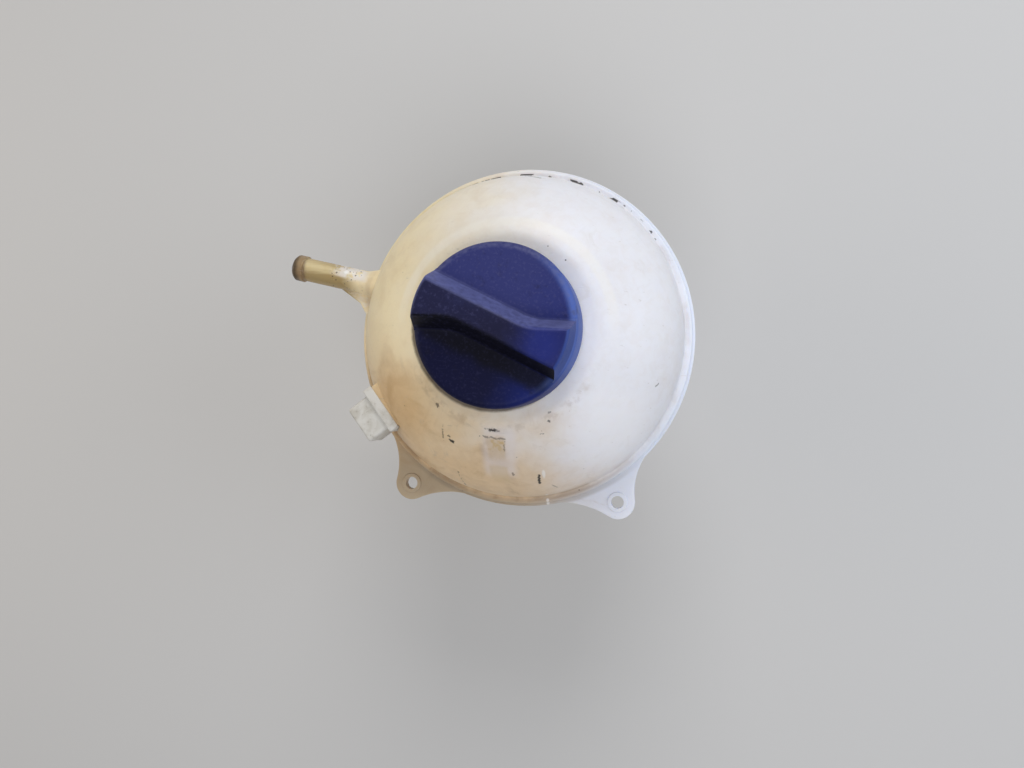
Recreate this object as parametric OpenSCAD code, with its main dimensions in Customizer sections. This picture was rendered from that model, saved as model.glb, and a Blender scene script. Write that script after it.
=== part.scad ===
// Coolant expansion tank: a ball of two welded shells with a filler neck, a screw
// cap that carries a pressure and a vacuum valve, a vent spigot, a hose outlet,
// a level sensor socket and two fixing lugs. All sizes are in millimetres.
// The origin lies midway between the two lug holes, on the lugs' back face.
// +Z runs up the filler neck, and +Y runs from the lugs towards the ball.

/* [Ball] */
// Outer radius of the lower half
ball_r = 84; // [80:0.5:88]
// Height of the upper half above its rim, if its dome weren't cut flat under the neck
dome_h = 56.4; // [54:0.2:60]
// Wall of both shells
wall = 3; // [2.4:0.1:3.6]

/* [Rim and lugs] */
// How far the lower shell's rim stands out from the ball
rim_w = 6; // [5:0.5:9]
// How far it stands out past the upper shell's rim
rim_step = 1.5; // [0.5:0.25:2]
// Thickness of the upper shell's rim
upper_rim_t = 3.5; // [2.5:0.5:4]
// Thickness of the lower shell's rim and of the lugs
lug_t = 4; // [3:0.5:6]
// Distance between the two lug holes
lug_spacing = 112; // [104:1:116]
// Distance from the line of the lug holes to the neck's axis
lug_reach = 83; // [81:0.5:86]
// Diameter of each lug hole
lug_hole_d = 6.5; // [5:0.5:8]
// Radius of each lug's round end
lug_end_r = 9; // [8:0.5:11]
// Radius of the hollow sweep from a lug's outer side into the rim
lug_sweep_out = 34; // [25:1:45]
// Radius of the hollow sweep from a lug's inner side into the rim
lug_sweep_in = 45; // [18:1:60]

/* [Neck] */
// Diameter of the flat shoulder round the neck
shoulder_d = 92; // [86:1:96]
// Inside diameter of the neck
neck_bore_d = 49; // [47:0.5:50]
// Wall of the neck under its thread
neck_wall = 4.5; // [3.5:0.5:5]
// Height of the neck above the shoulder
neck_rise = 17; // [16.5:0.5:20]

/* [Cap] */
// Outside diameter of the cap
cap_d = 76; // [75:1:80]
// Wall of the cap's skirt
cap_wall = 2.5; // [2:0.25:3]
// Thickness of the cap's top
cap_top_t = 3; // [2.5:0.25:4]
// Gap between the skirt's lower edge and the shoulder
cap_gap = 2; // [1:0.5:3]
// Room between the neck's outside and the cap's inner ring, which the threads fill
thread_room = 2.4; // [2:0.2:2.6]
// Height of the grip above the cap's top
grip_h = 12; // [8:1:15]
// Width of the grip's crest at its middle
grip_w = 11; // [9:0.5:14]
// How far each of the grip's flanks spreads out from crest to foot
grip_spread = 4.3; // [2:0.1:5]
// Turn of the grip's middle bar
grip_turn = -22.8; // [-30:0.2:-15]

/* [Valve] */
// Diameter of the plug that enters the neck
plug_d = 47.6; // [46:0.2:47.8]
// Thickness of the plug's O-ring
o_ring_d = 3; // [2.5:0.1:3.2]
// Diameter of the valve chamber inside the plug
chamber_d = 30; // [28:0.5:30.5]
// Diameter of the inlet in the plug's floor
inlet_d = 19; // [18:0.5:20]
// Diameter of the pressure valve's plate
plate_d = 27; // [25.5:0.5:27.5]
// Wire of the pressure spring
relief_wire = 1.4; // [1:0.1:1.6]
// Diameter of the vacuum valve's disc
vacuum_d = 15.6; // [14.5:0.2:16]
// Wire of the vacuum spring
vacuum_wire = 0.6; // [0.4:0.1:0.8]
// Diameter of the vacuum valve's stem
stem_d = 3; // [2.4:0.2:3.4]

/* [Vent spigot] */
// Outside diameter of the vent spigot
vent_d = 12.6; // [11:0.2:14]
// Bore of the vent spigot
vent_bore_d = 7; // [5:0.5:8]
// Diameter of its bead
vent_bead_d = 14.2; // [13:0.2:16]
// Distance from the neck's axis line to the spigot's tip, along the spigot
vent_tip = 131; // [115:1:140]
// How far the spigot's axis passes to one side of the neck's axis
vent_side = 9.3; // [4:0.1:14]
// Heading of the spigot, from +X towards +Y
vent_heading = 170.5; // [164:0.5:176]
// Height of the spigot's axis above the weld
vent_rise = 10; // [9.5:0.5:13]

/* [Hose outlet] */
// Outside diameter of the hose outlet
outlet_d = 24; // [20:1:28]
// Bore of the hose outlet
outlet_bore_d = 18; // [14:1:19]
// Diameter of its bead
outlet_bead_d = 26.4; // [26:0.2:31]
// Length of the outlet below the ball
outlet_l = 34; // [28:1:45]

/* [Level sensor] */
// Heading of the sensor socket, from +X towards +Y
sensor_heading = 220; // [214:1:226]
// How far its axis passes to one side of the neck's axis
sensor_side = 9.7; // [6:0.1:12]
// Height of its axis above the weld
sensor_rise = 19; // [18:0.5:21]
// Distance from the neck's axis line to the socket's seat
sensor_seat = 78; // [77:0.5:80]
// Width of the socket's shroud
shroud_w = 20; // [18:0.5:22]
// Height of the socket's shroud
shroud_h = 17; // [15:0.5:18]
// Length of the socket's shroud
shroud_l = 10.4; // [9:0.2:14]
// Wall of the socket's shroud
shroud_wall = 1.6; // [1.2:0.1:2]
// Distance between the two contact pins
pin_pitch = 9; // [8:0.5:10]
// Diameter of the pins' probe ends
probe_d = 2.5; // [2:0.1:3]
// How far the probes reach into the ball past the seat
probe_l = 24; // [16:1:30]

/* [Hidden] */

$fn = 96;
// Distance that a cutter runs past the face it opens
past = 1;
// Close clearance between parts that are pushed together
close_gap = 0.05;
// Clearance between parts that turn or slide on each other
turn_gap = 0.4;

// Ball and rim
rim_r = ball_r + rim_w;
weld_z = lug_t;
dome_r = ball_r + 0.5;
dome_z = weld_z + upper_rim_t;
shoulder_z = dome_z + dome_h * sqrt(1 - pow(shoulder_d / 2 / dome_r, 2));

// Pad under the ball, to which the hose outlet is welded
pad_z = weld_z - ball_r - 1;
pad_r = 20;

// Neck and cap
neck_bore_r = neck_bore_d / 2;
neck_r = neck_bore_r + neck_wall;
neck_z = shoulder_z + neck_rise;
under_z = neck_z + 2.2;
cap_r = cap_d / 2;
cap_z = under_z + cap_top_t;
skirt_z = shoulder_z + cap_gap;
cap_edge_r = 2;
ring_r = neck_r + thread_room;
ring_wall = 2.2;
bend_r = 26;
// How far the grip's edges are drawn past the cap before they are trimmed to it
grip_run = 8;
crest_r = cap_r - 2.4;
foot_r = cap_r - 0.3;

// Plug and valve body, hung in the cap's hub
hub_r = 19;
hub_wall = 2.5;
hub_lip = 1.1;
lip_z = under_z - 5.7;
lip_t = 1.4;
collar_z = lip_z + lip_t + 0.3;
collar_top = under_z - 0.7;
barrel_top = lip_z - 0.8;
barrel_l = 21;
barrel_z = under_z - barrel_l;
floor_t = 3;
floor_z = barrel_z + floor_t;
o_ring_z = under_z - 13.5;
o_ring_r = neck_bore_r - 0.1 - o_ring_d / 2;
groove_h = o_ring_d + 0.8;
vent_hole_d = 3;
vent_hole_z = under_z - 9.4;
chamber_r = chamber_d / 2;
inlet_r = inlet_d / 2;
bead_h = 0.8;
cover_t = 1.8;
cover_z = under_z - 4.1;

// Pressure and vacuum valves
seal_t = 1.6;
seal_z = floor_z + bead_h;
plate_t = 1.5;
plate_z = seal_z + seal_t;
plate_top = plate_z + plate_t;
vacuum_seal_t = 1;
vacuum_disc_t = 1.2;
vacuum_spring_l = 5.3;
retainer_z = plate_top + vacuum_spring_l;
retainer_t = 1;
stem_top = retainer_z + retainer_t + 0.8;
guide_r = stem_d / 2 + turn_gap;

// Sensor socket, in its own frame with +X along its axis
boss_w = 25;
boss_h = 21;
boss_back = 3.5;
boss_root = 20;
collar_w = 26;
collar_h = 22;
collar_l = 3.7;
seal_l = 1;
port_r = 7.8;
plug_r = port_r - 0.3;
plug_l = 8;
collar_x = sensor_seat + seal_l;
shroud_x = collar_x + collar_l;
blade_w = 2.8;
blade_t = 0.8;
blade_l = 6;

// Points along an arc
function arc(centre, r, from, to, steps) =
    [for (i = [0:steps]) let (a = from + (to - from) * i / steps)
        centre + r * [cos(a), sin(a)]];

// The direction from one point to another, in degrees
function aim(from, to) = atan2(to[1] - from[1], to[0] - from[0]);

// Points along the shorter arc round a centre, from facing one point to facing another
function sweep(centre, r, from, to, steps) =
    let (a = aim(centre, from), b = aim(centre, to),
         turn = b - a > 180 ? b - a - 360 : b - a < -180 ? b - a + 360 : b - a)
    arc(centre, r, a, a + turn, steps);

// The centre of a circle of radius rf that touches two circles from outside.
// The circles are at the origin (r1) and at p (r2), and side picks the left or right one.
function touching(r1, p, r2, rf, side) =
    let (d = norm(p), a = r1 + rf, b = r2 + rf,
         u = (d * d + a * a - b * b) / (2 * d),
         v = sqrt(a * a - u * u),
         e = p / d)
    u * e + side * v * [-e[1], e[0]];

module at_ball() {
    translate([0, lug_reach, 0]) children();
}

module along_vent() {
    at_ball() translate([0, 0, weld_z + vent_rise]) rotate([0, 0, vent_heading])
        translate([0, -vent_side, 0]) rotate([0, 90, 0]) children();
}

module along_sensor() {
    at_ball() translate([0, 0, weld_z + sensor_rise]) rotate([0, 0, sensor_heading])
        translate([0, -sensor_side, 0]) children();
}

// A tube or ring on the Z axis
module ring(outer, inner, z0, z1) {
    translate([0, 0, z0]) difference() {
        cylinder(r = outer, h = z1 - z0);
        translate([0, 0, -past]) cylinder(r = inner, h = z1 - z0 + 2 * past);
    }
}

// A block centred on Y and Z that runs along +X from x0 to x1
module beam(x0, x1, w, h) {
    translate([x0, -w / 2, -h / 2]) cube([x1 - x0, w, h]);
}

// One lug's outline, seen from above and centred on the ball: its round end and the
// web that runs into the rim by a hollow sweep on either side
module lug_outline() {
    hole = [lug_spacing / 2, -lug_reach];
    root_r = rim_r - 0.6;
    out_c = touching(root_r, hole, lug_end_r, lug_sweep_out, 1);
    in_c = touching(root_r, hole, lug_end_r, lug_sweep_in, -1);
    out_sweep = sweep(out_c, lug_sweep_out, hole, [0, 0], 10);
    in_sweep = sweep(in_c, lug_sweep_in, [0, 0], hole, 10);
    polygon(concat([[0, 0]], in_sweep, [hole], out_sweep));
    translate(hole) circle(r = lug_end_r);
}

module lower_shell() {
    color("ivory") difference() {
        union() {
            at_ball() {
                translate([0, 0, weld_z]) intersection() {
                    sphere(r = ball_r, $fn = 128);
                    translate([0, 0, -ball_r - past])
                        cylinder(r = ball_r + past, h = ball_r + past);
                }
                cylinder(r = rim_r, h = lug_t, $fn = 128);
                for (side = [0, 1]) mirror([side, 0, 0])
                    linear_extrude(lug_t) lug_outline();
                translate([0, 0, pad_z]) cylinder(r = pad_r, h = 2 * wall);
            }
            for (side = [-1, 1]) translate([side * lug_spacing / 2, 0, 0])
                cylinder(r = lug_hole_d / 2 + 2, h = lug_t + 0.5);
        }
        at_ball() {
            translate([0, 0, weld_z]) sphere(r = ball_r - wall, $fn = 128);
            translate([0, 0, pad_z - past])
                cylinder(r = outlet_bore_d / 2, h = ball_r / 2);
        }
        for (side = [-1, 1]) translate([side * lug_spacing / 2, 0, -past])
            cylinder(r = lug_hole_d / 2, h = lug_t + 0.5 + 2 * past);
    }
}

// The hose outlet, welded by its flange to the pad under the ball, with its bead and
// four gussets
module hose_outlet() {
    bead_l = 3.5;
    land_l = 2;
    nose = 1.5;
    flange_t = 3;
    flange_r = pad_r - 2;
    tip_z = weld_z - ball_r - outlet_l;
    flange_z = pad_z - flange_t;
    color("ivory") at_ball() difference() {
        union() {
            ring(flange_r, outlet_bore_d / 2, flange_z, pad_z);
            translate([0, 0, tip_z]) cylinder(r = outlet_d / 2, h = pad_z - tip_z);
            translate([0, 0, tip_z + nose]) cylinder(r = outlet_bead_d / 2, h = land_l);
            translate([0, 0, tip_z + nose + land_l])
                cylinder(r1 = outlet_bead_d / 2, r2 = outlet_d / 2 - 0.1, h = bead_l - land_l);
            for (k = [0:3]) rotate([90, 0, 45 + 90 * k])
                translate([0, 0, -wall / 2]) linear_extrude(wall)
                    polygon([[outlet_d / 2 - 1, flange_z - flange_r / 2],
                        [outlet_d / 2 - 1, flange_z + 1], [flange_r - 1, flange_z + 1],
                        [flange_r - 1, flange_z - 0.5]]);
        }
        translate([0, 0, tip_z - past])
            cylinder(r = outlet_bore_d / 2, h = pad_z - tip_z + 2 * past);
    }
}

// A point of the dome's flattened round section, moved inwards by inset
function dome_point(angle, inset) =
    let (out = [cos(angle) / dome_r, sin(angle) / dome_h])
    [dome_r * cos(angle), dome_z + dome_h * sin(angle)] - inset * out / norm(out);

// The dome, inset from its outer face and cut flat at the heights bottom and top
module dome(inset, bottom, top) {
    steps = 24;
    intersection() {
        rotate_extrude($fn = 128) polygon(concat(
            [[0, bottom], [dome_r - inset, bottom]],
            [for (i = [0:steps]) dome_point(90 * i / steps, inset)]));
        translate([0, 0, bottom]) cylinder(r = dome_r + past, h = top - bottom);
    }
}

module upper_shell() {
    color("ivory") difference() {
        union() {
            at_ball() {
                dome(0, weld_z, shoulder_z);
                translate([0, 0, weld_z])
                    cylinder(r = rim_r - rim_step, h = upper_rim_t, $fn = 128);
                translate([0, 0, shoulder_z - wall])
                    cylinder(r = neck_r, h = neck_z - shoulder_z + wall);
                vent_gusset();
            }
            along_sensor() beam(sensor_seat - boss_root, sensor_seat, boss_w, boss_h);
            along_vent() vent_tube();
        }
        difference() {
            at_ball() dome(wall, weld_z - past, shoulder_z - wall);
            along_sensor() beam(sensor_seat - boss_back, sensor_seat + boss_w,
                boss_w, boss_h);
        }
        at_ball() translate([0, 0, weld_z])
            cylinder(r = neck_bore_r, h = neck_z - weld_z + past);
        along_sensor() {
            beam(sensor_seat, sensor_seat + boss_w, collar_w + 0.4, collar_h + 0.4);
            translate([sensor_seat - boss_root - past, 0, 0]) rotate([0, 90, 0])
                cylinder(r = port_r, h = boss_root + 3 * past);
        }
        along_vent() translate([0, 0, ball_r * 0.75])
            cylinder(r = vent_bore_d / 2, h = vent_tip - ball_r * 0.75 + past);
    }
}

// The vent spigot, drawn up the Z axis from inside the dome to its tip
module vent_tube() {
    bead_l = 6.3;
    nose = 1;
    root = ball_r - 5;
    translate([0, 0, root]) cylinder(r = vent_d / 2, h = vent_tip - root - nose);
    translate([0, 0, vent_tip - bead_l])
        cylinder(r = vent_bead_d / 2, h = bead_l - nose);
    translate([0, 0, vent_tip - nose])
        cylinder(r1 = vent_bead_d / 2, r2 = vent_bead_d / 2 - nose, h = nose);
}

// The web between the vent spigot and the rim
module vent_gusset() {
    web_w = 24;
    heading = [cos(vent_heading), sin(vent_heading)];
    across = [-heading[1], heading[0]];
    near = -vent_side * across;
    corner = near + (rim_r + 9) * heading;
    inside = near + (ball_r - 4) * heading;
    low = inside + web_w * across;
    bulge = near + (rim_r - 1) * heading + web_w / 2 * across;
    translate([0, 0, weld_z]) linear_extrude(vent_rise)
        polygon([inside, corner, bulge, low + 3 * heading, low]);
}

// One edge of the grip, from the rim at the left to the rim at the right: a sloping
// middle, a round bend and a level end
function grip_edge(half, level) =
    let (rise = half / cos(grip_turn), slope = tan(grip_turn),
         bend_x = (level - rise) / slope, beyond = cap_r + grip_run,
         cut = bend_r * tan(-grip_turn / 2),
         start = [-beyond, rise - slope * beyond],
         centre = [bend_x + cut, level + bend_r])
    concat([start], arc(centre, bend_r, 270 + grip_turn, 270, 6), [[beyond, level]]);

// The grip's outline, anticlockwise: one edge, and the same edge turned half a turn
function grip_outline(half, level) =
    let (edge = grip_edge(half, level), back = [for (i = [len(edge) - 1:-1:0]) edge[i]])
        concat(back, -back);

// A solid that runs upwards through outlines that all have as many points
module loft(outlines, heights) {
    n = len(outlines[0]);
    layers = len(outlines);
    polyhedron(
        points = [for (k = [0:layers - 1]) for (p = outlines[k]) [p[0], p[1], heights[k]]],
        faces = concat([[for (i = [0:n - 1]) i]],
            [for (k = [0:layers - 2]) for (i = [0:n - 1])
                [k * n + i, k * n + n + i, k * n + (i + 1) % n]],
            [for (k = [0:layers - 2]) for (i = [0:n - 1])
                [k * n + n + i, k * n + n + (i + 1) % n, k * n + (i + 1) % n]],
            [[for (i = [0:n - 1]) layers * n - 1 - i]]));
}

// The grip: a bar with sloping flanks, a hollow round its foot and a rounded crest
module grip() {
    crest_level = -1.2;
    sunk = 1;
    // Each layer's height above the cap's top, and how far its flanks stand out from the crest's
    layers = [[-sunk, grip_spread + 1.6], [0, grip_spread + 1.3], [0.5, grip_spread + 0.4],
        [1.4, grip_spread * 0.9], [grip_h - 1.6, grip_spread * 0.14], [grip_h - 0.5, -0.5],
        [grip_h, -1.5]];
    intersection() {
        loft([for (layer = layers) grip_outline(grip_w / 2 + layer[1], crest_level + layer[1])],
            [for (layer = layers) cap_z + layer[0]]);
        translate([0, 0, cap_z - sunk])
            cylinder(r1 = foot_r, r2 = crest_r, h = grip_h + sunk);
    }
}

module cap_shell() {
    rib_w = 1.4;
    rib_h = 9;
    ribs = 12;
    color("darkslateblue") at_ball() {
        rotate_extrude($fn = 128) polygon(concat(
            [[0, under_z], [cap_r - cap_wall, under_z], [cap_r - cap_wall, skirt_z],
                [cap_r, skirt_z]],
            arc([cap_r - cap_edge_r, cap_z - cap_edge_r], cap_edge_r, 0, 90, 5),
            [[0, cap_z]]));
        grip();
        ring(ring_r + ring_wall, ring_r, skirt_z + 1, under_z + past);
        for (k = [0:ribs - 1]) rotate([0, 0, 360 * k / ribs])
            translate([ring_r + ring_wall - 0.3, -rib_w / 2, under_z - rib_h])
                cube([cap_r - cap_wall - ring_r - ring_wall + 0.6, rib_w, rib_h + past]);
        ring(hub_r + hub_wall, hub_r, lip_z, under_z + past);
        ring(hub_r + 0.2, hub_r - hub_lip, lip_z, lip_z + lip_t);
    }
}

module valve_body() {
    lip_r = chamber_r + 0.2;
    pocket_r = chamber_r + 1.1;
    waist_r = hub_r - hub_lip - turn_gap;
    color("dimgray") at_ball() difference() {
        union() {
            translate([0, 0, barrel_z]) cylinder(r = plug_d / 2, h = barrel_top - barrel_z);
            translate([0, 0, barrel_top - past])
                cylinder(r = waist_r, h = collar_top - barrel_top + past);
            translate([0, 0, collar_z]) cylinder(r = hub_r - turn_gap, h = collar_top - collar_z);
        }
        ring(plug_d, o_ring_r - o_ring_d / 2 - close_gap, o_ring_z - groove_h / 2,
            o_ring_z + groove_h / 2);
        translate([0, 0, barrel_z - past]) cylinder(r = inlet_r, h = floor_t + 2 * past);
        difference() {
            translate([0, 0, floor_z]) cylinder(r = chamber_r, h = cover_z - floor_z + past);
            ring(inlet_r + 2, inlet_r + 0.5, floor_z - past, floor_z + bead_h);
        }
        translate([0, 0, cover_z]) cylinder(r = pocket_r, h = cover_t + 0.3);
        translate([0, 0, cover_z]) cylinder(r = lip_r, h = collar_top - cover_z + past);
        for (k = [0:3]) rotate([0, 0, 45 + 90 * k]) translate([0, 0, vent_hole_z])
            rotate([0, 90, 0]) cylinder(r = vent_hole_d / 2, h = plug_d);
    }
}

module plug_o_ring() {
    color("black") at_ball() translate([0, 0, o_ring_z]) rotate_extrude()
        translate([o_ring_r, 0]) circle(r = o_ring_d / 2, $fn = 48);
}

module relief_seal() {
    color("black") at_ball()
        ring(inlet_r + 3, vacuum_d / 2 + 1, seal_z, seal_z + seal_t);
}

module relief_plate() {
    vents = 6;
    color("silver") at_ball() difference() {
        union() {
            translate([0, 0, plate_z]) cylinder(r = plate_d / 2, h = plate_t);
            ring(plate_d / 2, plate_d / 2 - 1, plate_z, plate_top + 1);
        }
        translate([0, 0, plate_z - past]) cylinder(r = guide_r, h = plate_t + 2 * past);
        for (k = [0:vents - 1]) rotate([0, 0, 360 * k / vents])
            translate([guide_r + 2.6, 0, plate_z - past])
                cylinder(r = 1, h = plate_t + 2 * past);
    }
}

// A coil spring of round wire, with its end turns flat against z0 and z1
module coil(mean_r, wire, z0, z1, turns) {
    steps = 20;
    sides = 8;
    total = turns * steps;
    r = wire / 2;
    low = z0 + r;
    high = z1 - r;
    function height(t) = low + (high - low) * max(0, min(1, (t - 0.75) / (turns - 1.5)));
    pts = [for (i = [0:total]) let (t = i / steps, a = 360 * t, z = height(t))
        for (k = [0:sides - 1]) let (b = 360 * k / sides, q = mean_r + r * cos(b))
            [q * cos(a), q * sin(a), z + r * sin(b)]];
    polyhedron(points = pts, faces = concat(
        [[for (k = [0:sides - 1]) k]],
        [for (i = [0:total - 1]) for (k = [0:sides - 1]) let (j = i * sides)
            [j + k, j + sides + k, j + (k + 1) % sides]],
        [for (i = [0:total - 1]) for (k = [0:sides - 1]) let (j = i * sides)
            [j + sides + k, j + sides + (k + 1) % sides, j + (k + 1) % sides]],
        [[for (k = [0:sides - 1]) total * sides + sides - 1 - k]]));
}

module relief_spring() {
    color("gainsboro") at_ball()
        coil(plate_d / 2 - 1.4 - relief_wire, relief_wire, plate_top, cover_z, 4);
}

module spring_cover() {
    color("dimgray") at_ball()
        ring(chamber_r + 0.9, 3, cover_z, cover_z + cover_t);
}

module vacuum_valve() {
    color("silver") at_ball() {
        translate([0, 0, plate_z - vacuum_seal_t - vacuum_disc_t])
            cylinder(r = vacuum_d / 2, h = vacuum_disc_t);
        translate([0, 0, plate_z - vacuum_seal_t - past])
            cylinder(r = stem_d / 2, h = stem_top - plate_z + vacuum_seal_t + past);
    }
}

module vacuum_seal() {
    color("black") at_ball()
        ring(vacuum_d / 2 - 0.3, stem_d / 2 + close_gap, plate_z - vacuum_seal_t, plate_z);
}

module vacuum_spring() {
    color("gainsboro") at_ball()
        coil(stem_d / 2 + 0.5 + vacuum_wire, vacuum_wire, plate_top, retainer_z, 4);
}

module vacuum_retainer() {
    color("silver") at_ball()
        ring(stem_d / 2 + 2.7, stem_d / 2 + close_gap, retainer_z, retainer_z + retainer_t);
}

module sensor_socket() {
    color("whitesmoke") along_sensor() difference() {
        union() {
            beam(collar_x, shroud_x, collar_w, collar_h);
            beam(shroud_x - past, shroud_x + shroud_l, shroud_w, shroud_h);
            translate([collar_x - plug_l, 0, 0]) rotate([0, 90, 0])
                cylinder(r = plug_r, h = plug_l + past);
        }
        beam(shroud_x, shroud_x + shroud_l + past, shroud_w - 2 * shroud_wall,
            shroud_h - 2 * shroud_wall);
        for (side = [-1, 1]) translate([0, side * pin_pitch / 2, 0]) {
            translate([collar_x - plug_l - past, 0, 0]) rotate([0, 90, 0])
                cylinder(r = probe_d / 2 + close_gap, h = plug_l + 2 * past);
            beam(collar_x, shroud_x + past, blade_t + 2 * close_gap, blade_w + 2 * close_gap);
        }
    }
}

module socket_seal() {
    color("black") along_sensor() difference() {
        beam(sensor_seat, collar_x, collar_w - 1, collar_h - 1);
        translate([sensor_seat - past, 0, 0]) rotate([0, 90, 0])
            cylinder(r = port_r, h = seal_l + 2 * past);
    }
}

module contact_pin(side) {
    color("silver") along_sensor() translate([0, side * pin_pitch / 2, 0]) {
        beam(collar_x, shroud_x + blade_l, blade_t, blade_w);
        translate([sensor_seat - probe_l, 0, 0]) rotate([0, 90, 0])
            cylinder(r = probe_d / 2, h = collar_x - sensor_seat + probe_l + past / 2);
    }
}

module contact_pin_left() contact_pin(-1);
module contact_pin_right() contact_pin(1);

lower_shell();
hose_outlet();
upper_shell();
cap_shell();
valve_body();
plug_o_ring();
relief_seal();
relief_plate();
relief_spring();
spring_cover();
vacuum_valve();
vacuum_seal();
vacuum_spring();
vacuum_retainer();
sensor_socket();
socket_seal();
contact_pin_left();
contact_pin_right();
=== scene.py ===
# %% [markdown]
# # A coolant expansion tank
#
# This lesson dresses a packed CAD model of a car's coolant expansion tank: two moulded half balls
# of cloudy polypropylene welded at a rim, with a blue screw cap, a vent spigot, a hose outlet and
# a sensor socket. The CAD pieces give the sizes and places. Blender adds what a mould, a weld and
# years of use leave on them.

# %% Open the frame
import math

import bpy
from mathutils import Matrix, Vector


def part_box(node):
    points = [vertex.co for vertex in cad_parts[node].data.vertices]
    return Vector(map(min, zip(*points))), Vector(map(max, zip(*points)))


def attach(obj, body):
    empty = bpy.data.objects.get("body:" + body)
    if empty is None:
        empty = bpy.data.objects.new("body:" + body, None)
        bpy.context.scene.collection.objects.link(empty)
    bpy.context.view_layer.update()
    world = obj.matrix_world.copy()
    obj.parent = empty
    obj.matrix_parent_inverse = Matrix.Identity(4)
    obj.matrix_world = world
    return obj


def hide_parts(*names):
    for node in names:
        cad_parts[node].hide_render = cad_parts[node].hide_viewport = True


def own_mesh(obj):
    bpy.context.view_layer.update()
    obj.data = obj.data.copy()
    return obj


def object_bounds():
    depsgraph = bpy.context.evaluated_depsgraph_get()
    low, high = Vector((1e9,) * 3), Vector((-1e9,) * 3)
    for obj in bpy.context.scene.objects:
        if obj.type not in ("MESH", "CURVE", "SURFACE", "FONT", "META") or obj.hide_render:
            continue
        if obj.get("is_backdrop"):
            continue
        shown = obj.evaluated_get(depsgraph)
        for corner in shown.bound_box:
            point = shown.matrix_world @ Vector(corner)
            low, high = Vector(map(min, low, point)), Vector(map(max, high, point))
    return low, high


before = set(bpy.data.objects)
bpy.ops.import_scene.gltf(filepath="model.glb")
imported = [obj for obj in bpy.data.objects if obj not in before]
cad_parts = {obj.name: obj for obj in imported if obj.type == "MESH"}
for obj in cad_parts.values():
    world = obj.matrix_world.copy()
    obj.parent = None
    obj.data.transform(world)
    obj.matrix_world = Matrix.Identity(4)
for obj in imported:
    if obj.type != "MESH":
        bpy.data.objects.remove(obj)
cad_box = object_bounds()
MM = 0.001

print("box in mm", [[round(value / MM, 1) for value in corner] for corner in cad_box])

# %% [markdown]
# ## Sizes from the frame
#
# Nothing is placed by eye. The cap's box gives the ball's axis and the cap's radius, the front
# shell's box gives the rim's radius, the weld and the top of the neck, and the hose outlet's box
# gives the lowest point. What is modelled later starts from these.

# %% Measure the frame
shell_low, shell_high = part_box("upper_shell")
back_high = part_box("lower_shell")[1]
outlet_low, outlet_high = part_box("hose_outlet")
cap_low, cap_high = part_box("cap_shell")

cap_r = (cap_high.x - cap_low.x) / 2
axis_y = (cap_high.y + cap_low.y) / 2
rim_r = shell_high.x
neck_top = shell_high.z
ball_axis = Vector((0, axis_y, 0))

print("ball axis at y", round(axis_y / MM, 2), "cap radius", round(cap_r / MM, 2))
print("rim radius", round(rim_r / MM, 2), "neck top", round(neck_top / MM, 2))

# %% [markdown]
# ## Drawing and turning
#
# Every moulded piece begins as an outline. `rounded` gives its corners their mould radii, `draw`
# walks round it in edit mode, and `turned` spins it about the ball's axis. A plate is filled and
# drawn up instead, and a block is a cube at its own size. Sizes in these helpers are millimetres
# in the part's own frame.

# %% Outlines with rounded corners
def swung(first, last, steps):
    """A vector swung from one direction to another in equal steps, both ends included."""
    start = first.normalized()
    end = last.normalized()
    return [start.slerp(end, k / steps) * first.length for k in range(steps + 1)]


def corner_arc(before, here, after, radius, steps):
    """Points that round one corner of an outline."""
    into = Vector(before) - Vector(here)
    out = Vector(after) - Vector(here)
    half = into.angle(out) / 2
    reach = min(radius / math.tan(half), 0.49 * into.length, 0.49 * out.length)
    into.normalize()
    out.normalize()
    centre = Vector(here) + (into + out).normalized() * reach / math.cos(half)
    first = Vector(here) + into * reach - centre
    last = Vector(here) + out * reach - centre
    return [centre + arm for arm in swung(first, last, steps)]


def rounded(corners, steps=5):
    """An outline's points. A corner written with a third number is rounded to that radius."""
    points = []
    for index, corner in enumerate(corners):
        before = corners[index - 1][:2]
        after = corners[(index + 1) % len(corners)][:2]
        if len(corner) == 3:
            points += corner_arc(before, corner[:2], after, corner[2], steps)
        else:
            points.append(Vector(corner))
    return points


def arc_points(centre, radius, start, end, steps):
    """Points along an arc, with its two angles in degrees."""
    angles = [math.radians(start + (end - start) * k / steps) for k in range(steps + 1)]
    return [(centre[0] + radius * math.cos(a), centre[1] + radius * math.sin(a)) for a in angles]


soft_square = rounded([(0, 0), (1, 0), (1, 1, 0.2), (0, 1)])
print("a square with one soft corner has", len(soft_square), "points")

# %% Edges in edit mode
touch = 0.002 * MM


def select_only(piece):
    """Makes one piece the only selected and the active one."""
    bpy.ops.object.select_all(action="DESELECT")
    piece.select_set(True)
    bpy.context.view_layer.objects.active = piece


def draw(name, points):
    """A closed loop of edges through 3-D points, left selected in edit mode."""
    bpy.ops.object.select_all(action="DESELECT")
    bpy.ops.mesh.primitive_plane_add(size=MM, location=(0, 0, 0))
    piece = bpy.context.object
    piece.name = name
    bpy.ops.object.mode_set(mode="EDIT")
    bpy.ops.mesh.merge(type="CENTER")
    bpy.ops.transform.translate(value=Vector(points[0]) * MM)
    for here, there in zip(points, points[1:] + points[:1]):
        step = (Vector(there) - Vector(here)) * MM
        bpy.ops.mesh.extrude_vertices_move(TRANSFORM_OT_translate={"value": step})
    bpy.ops.mesh.select_all(action="SELECT")
    bpy.ops.mesh.remove_doubles(threshold=touch)
    return piece


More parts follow.
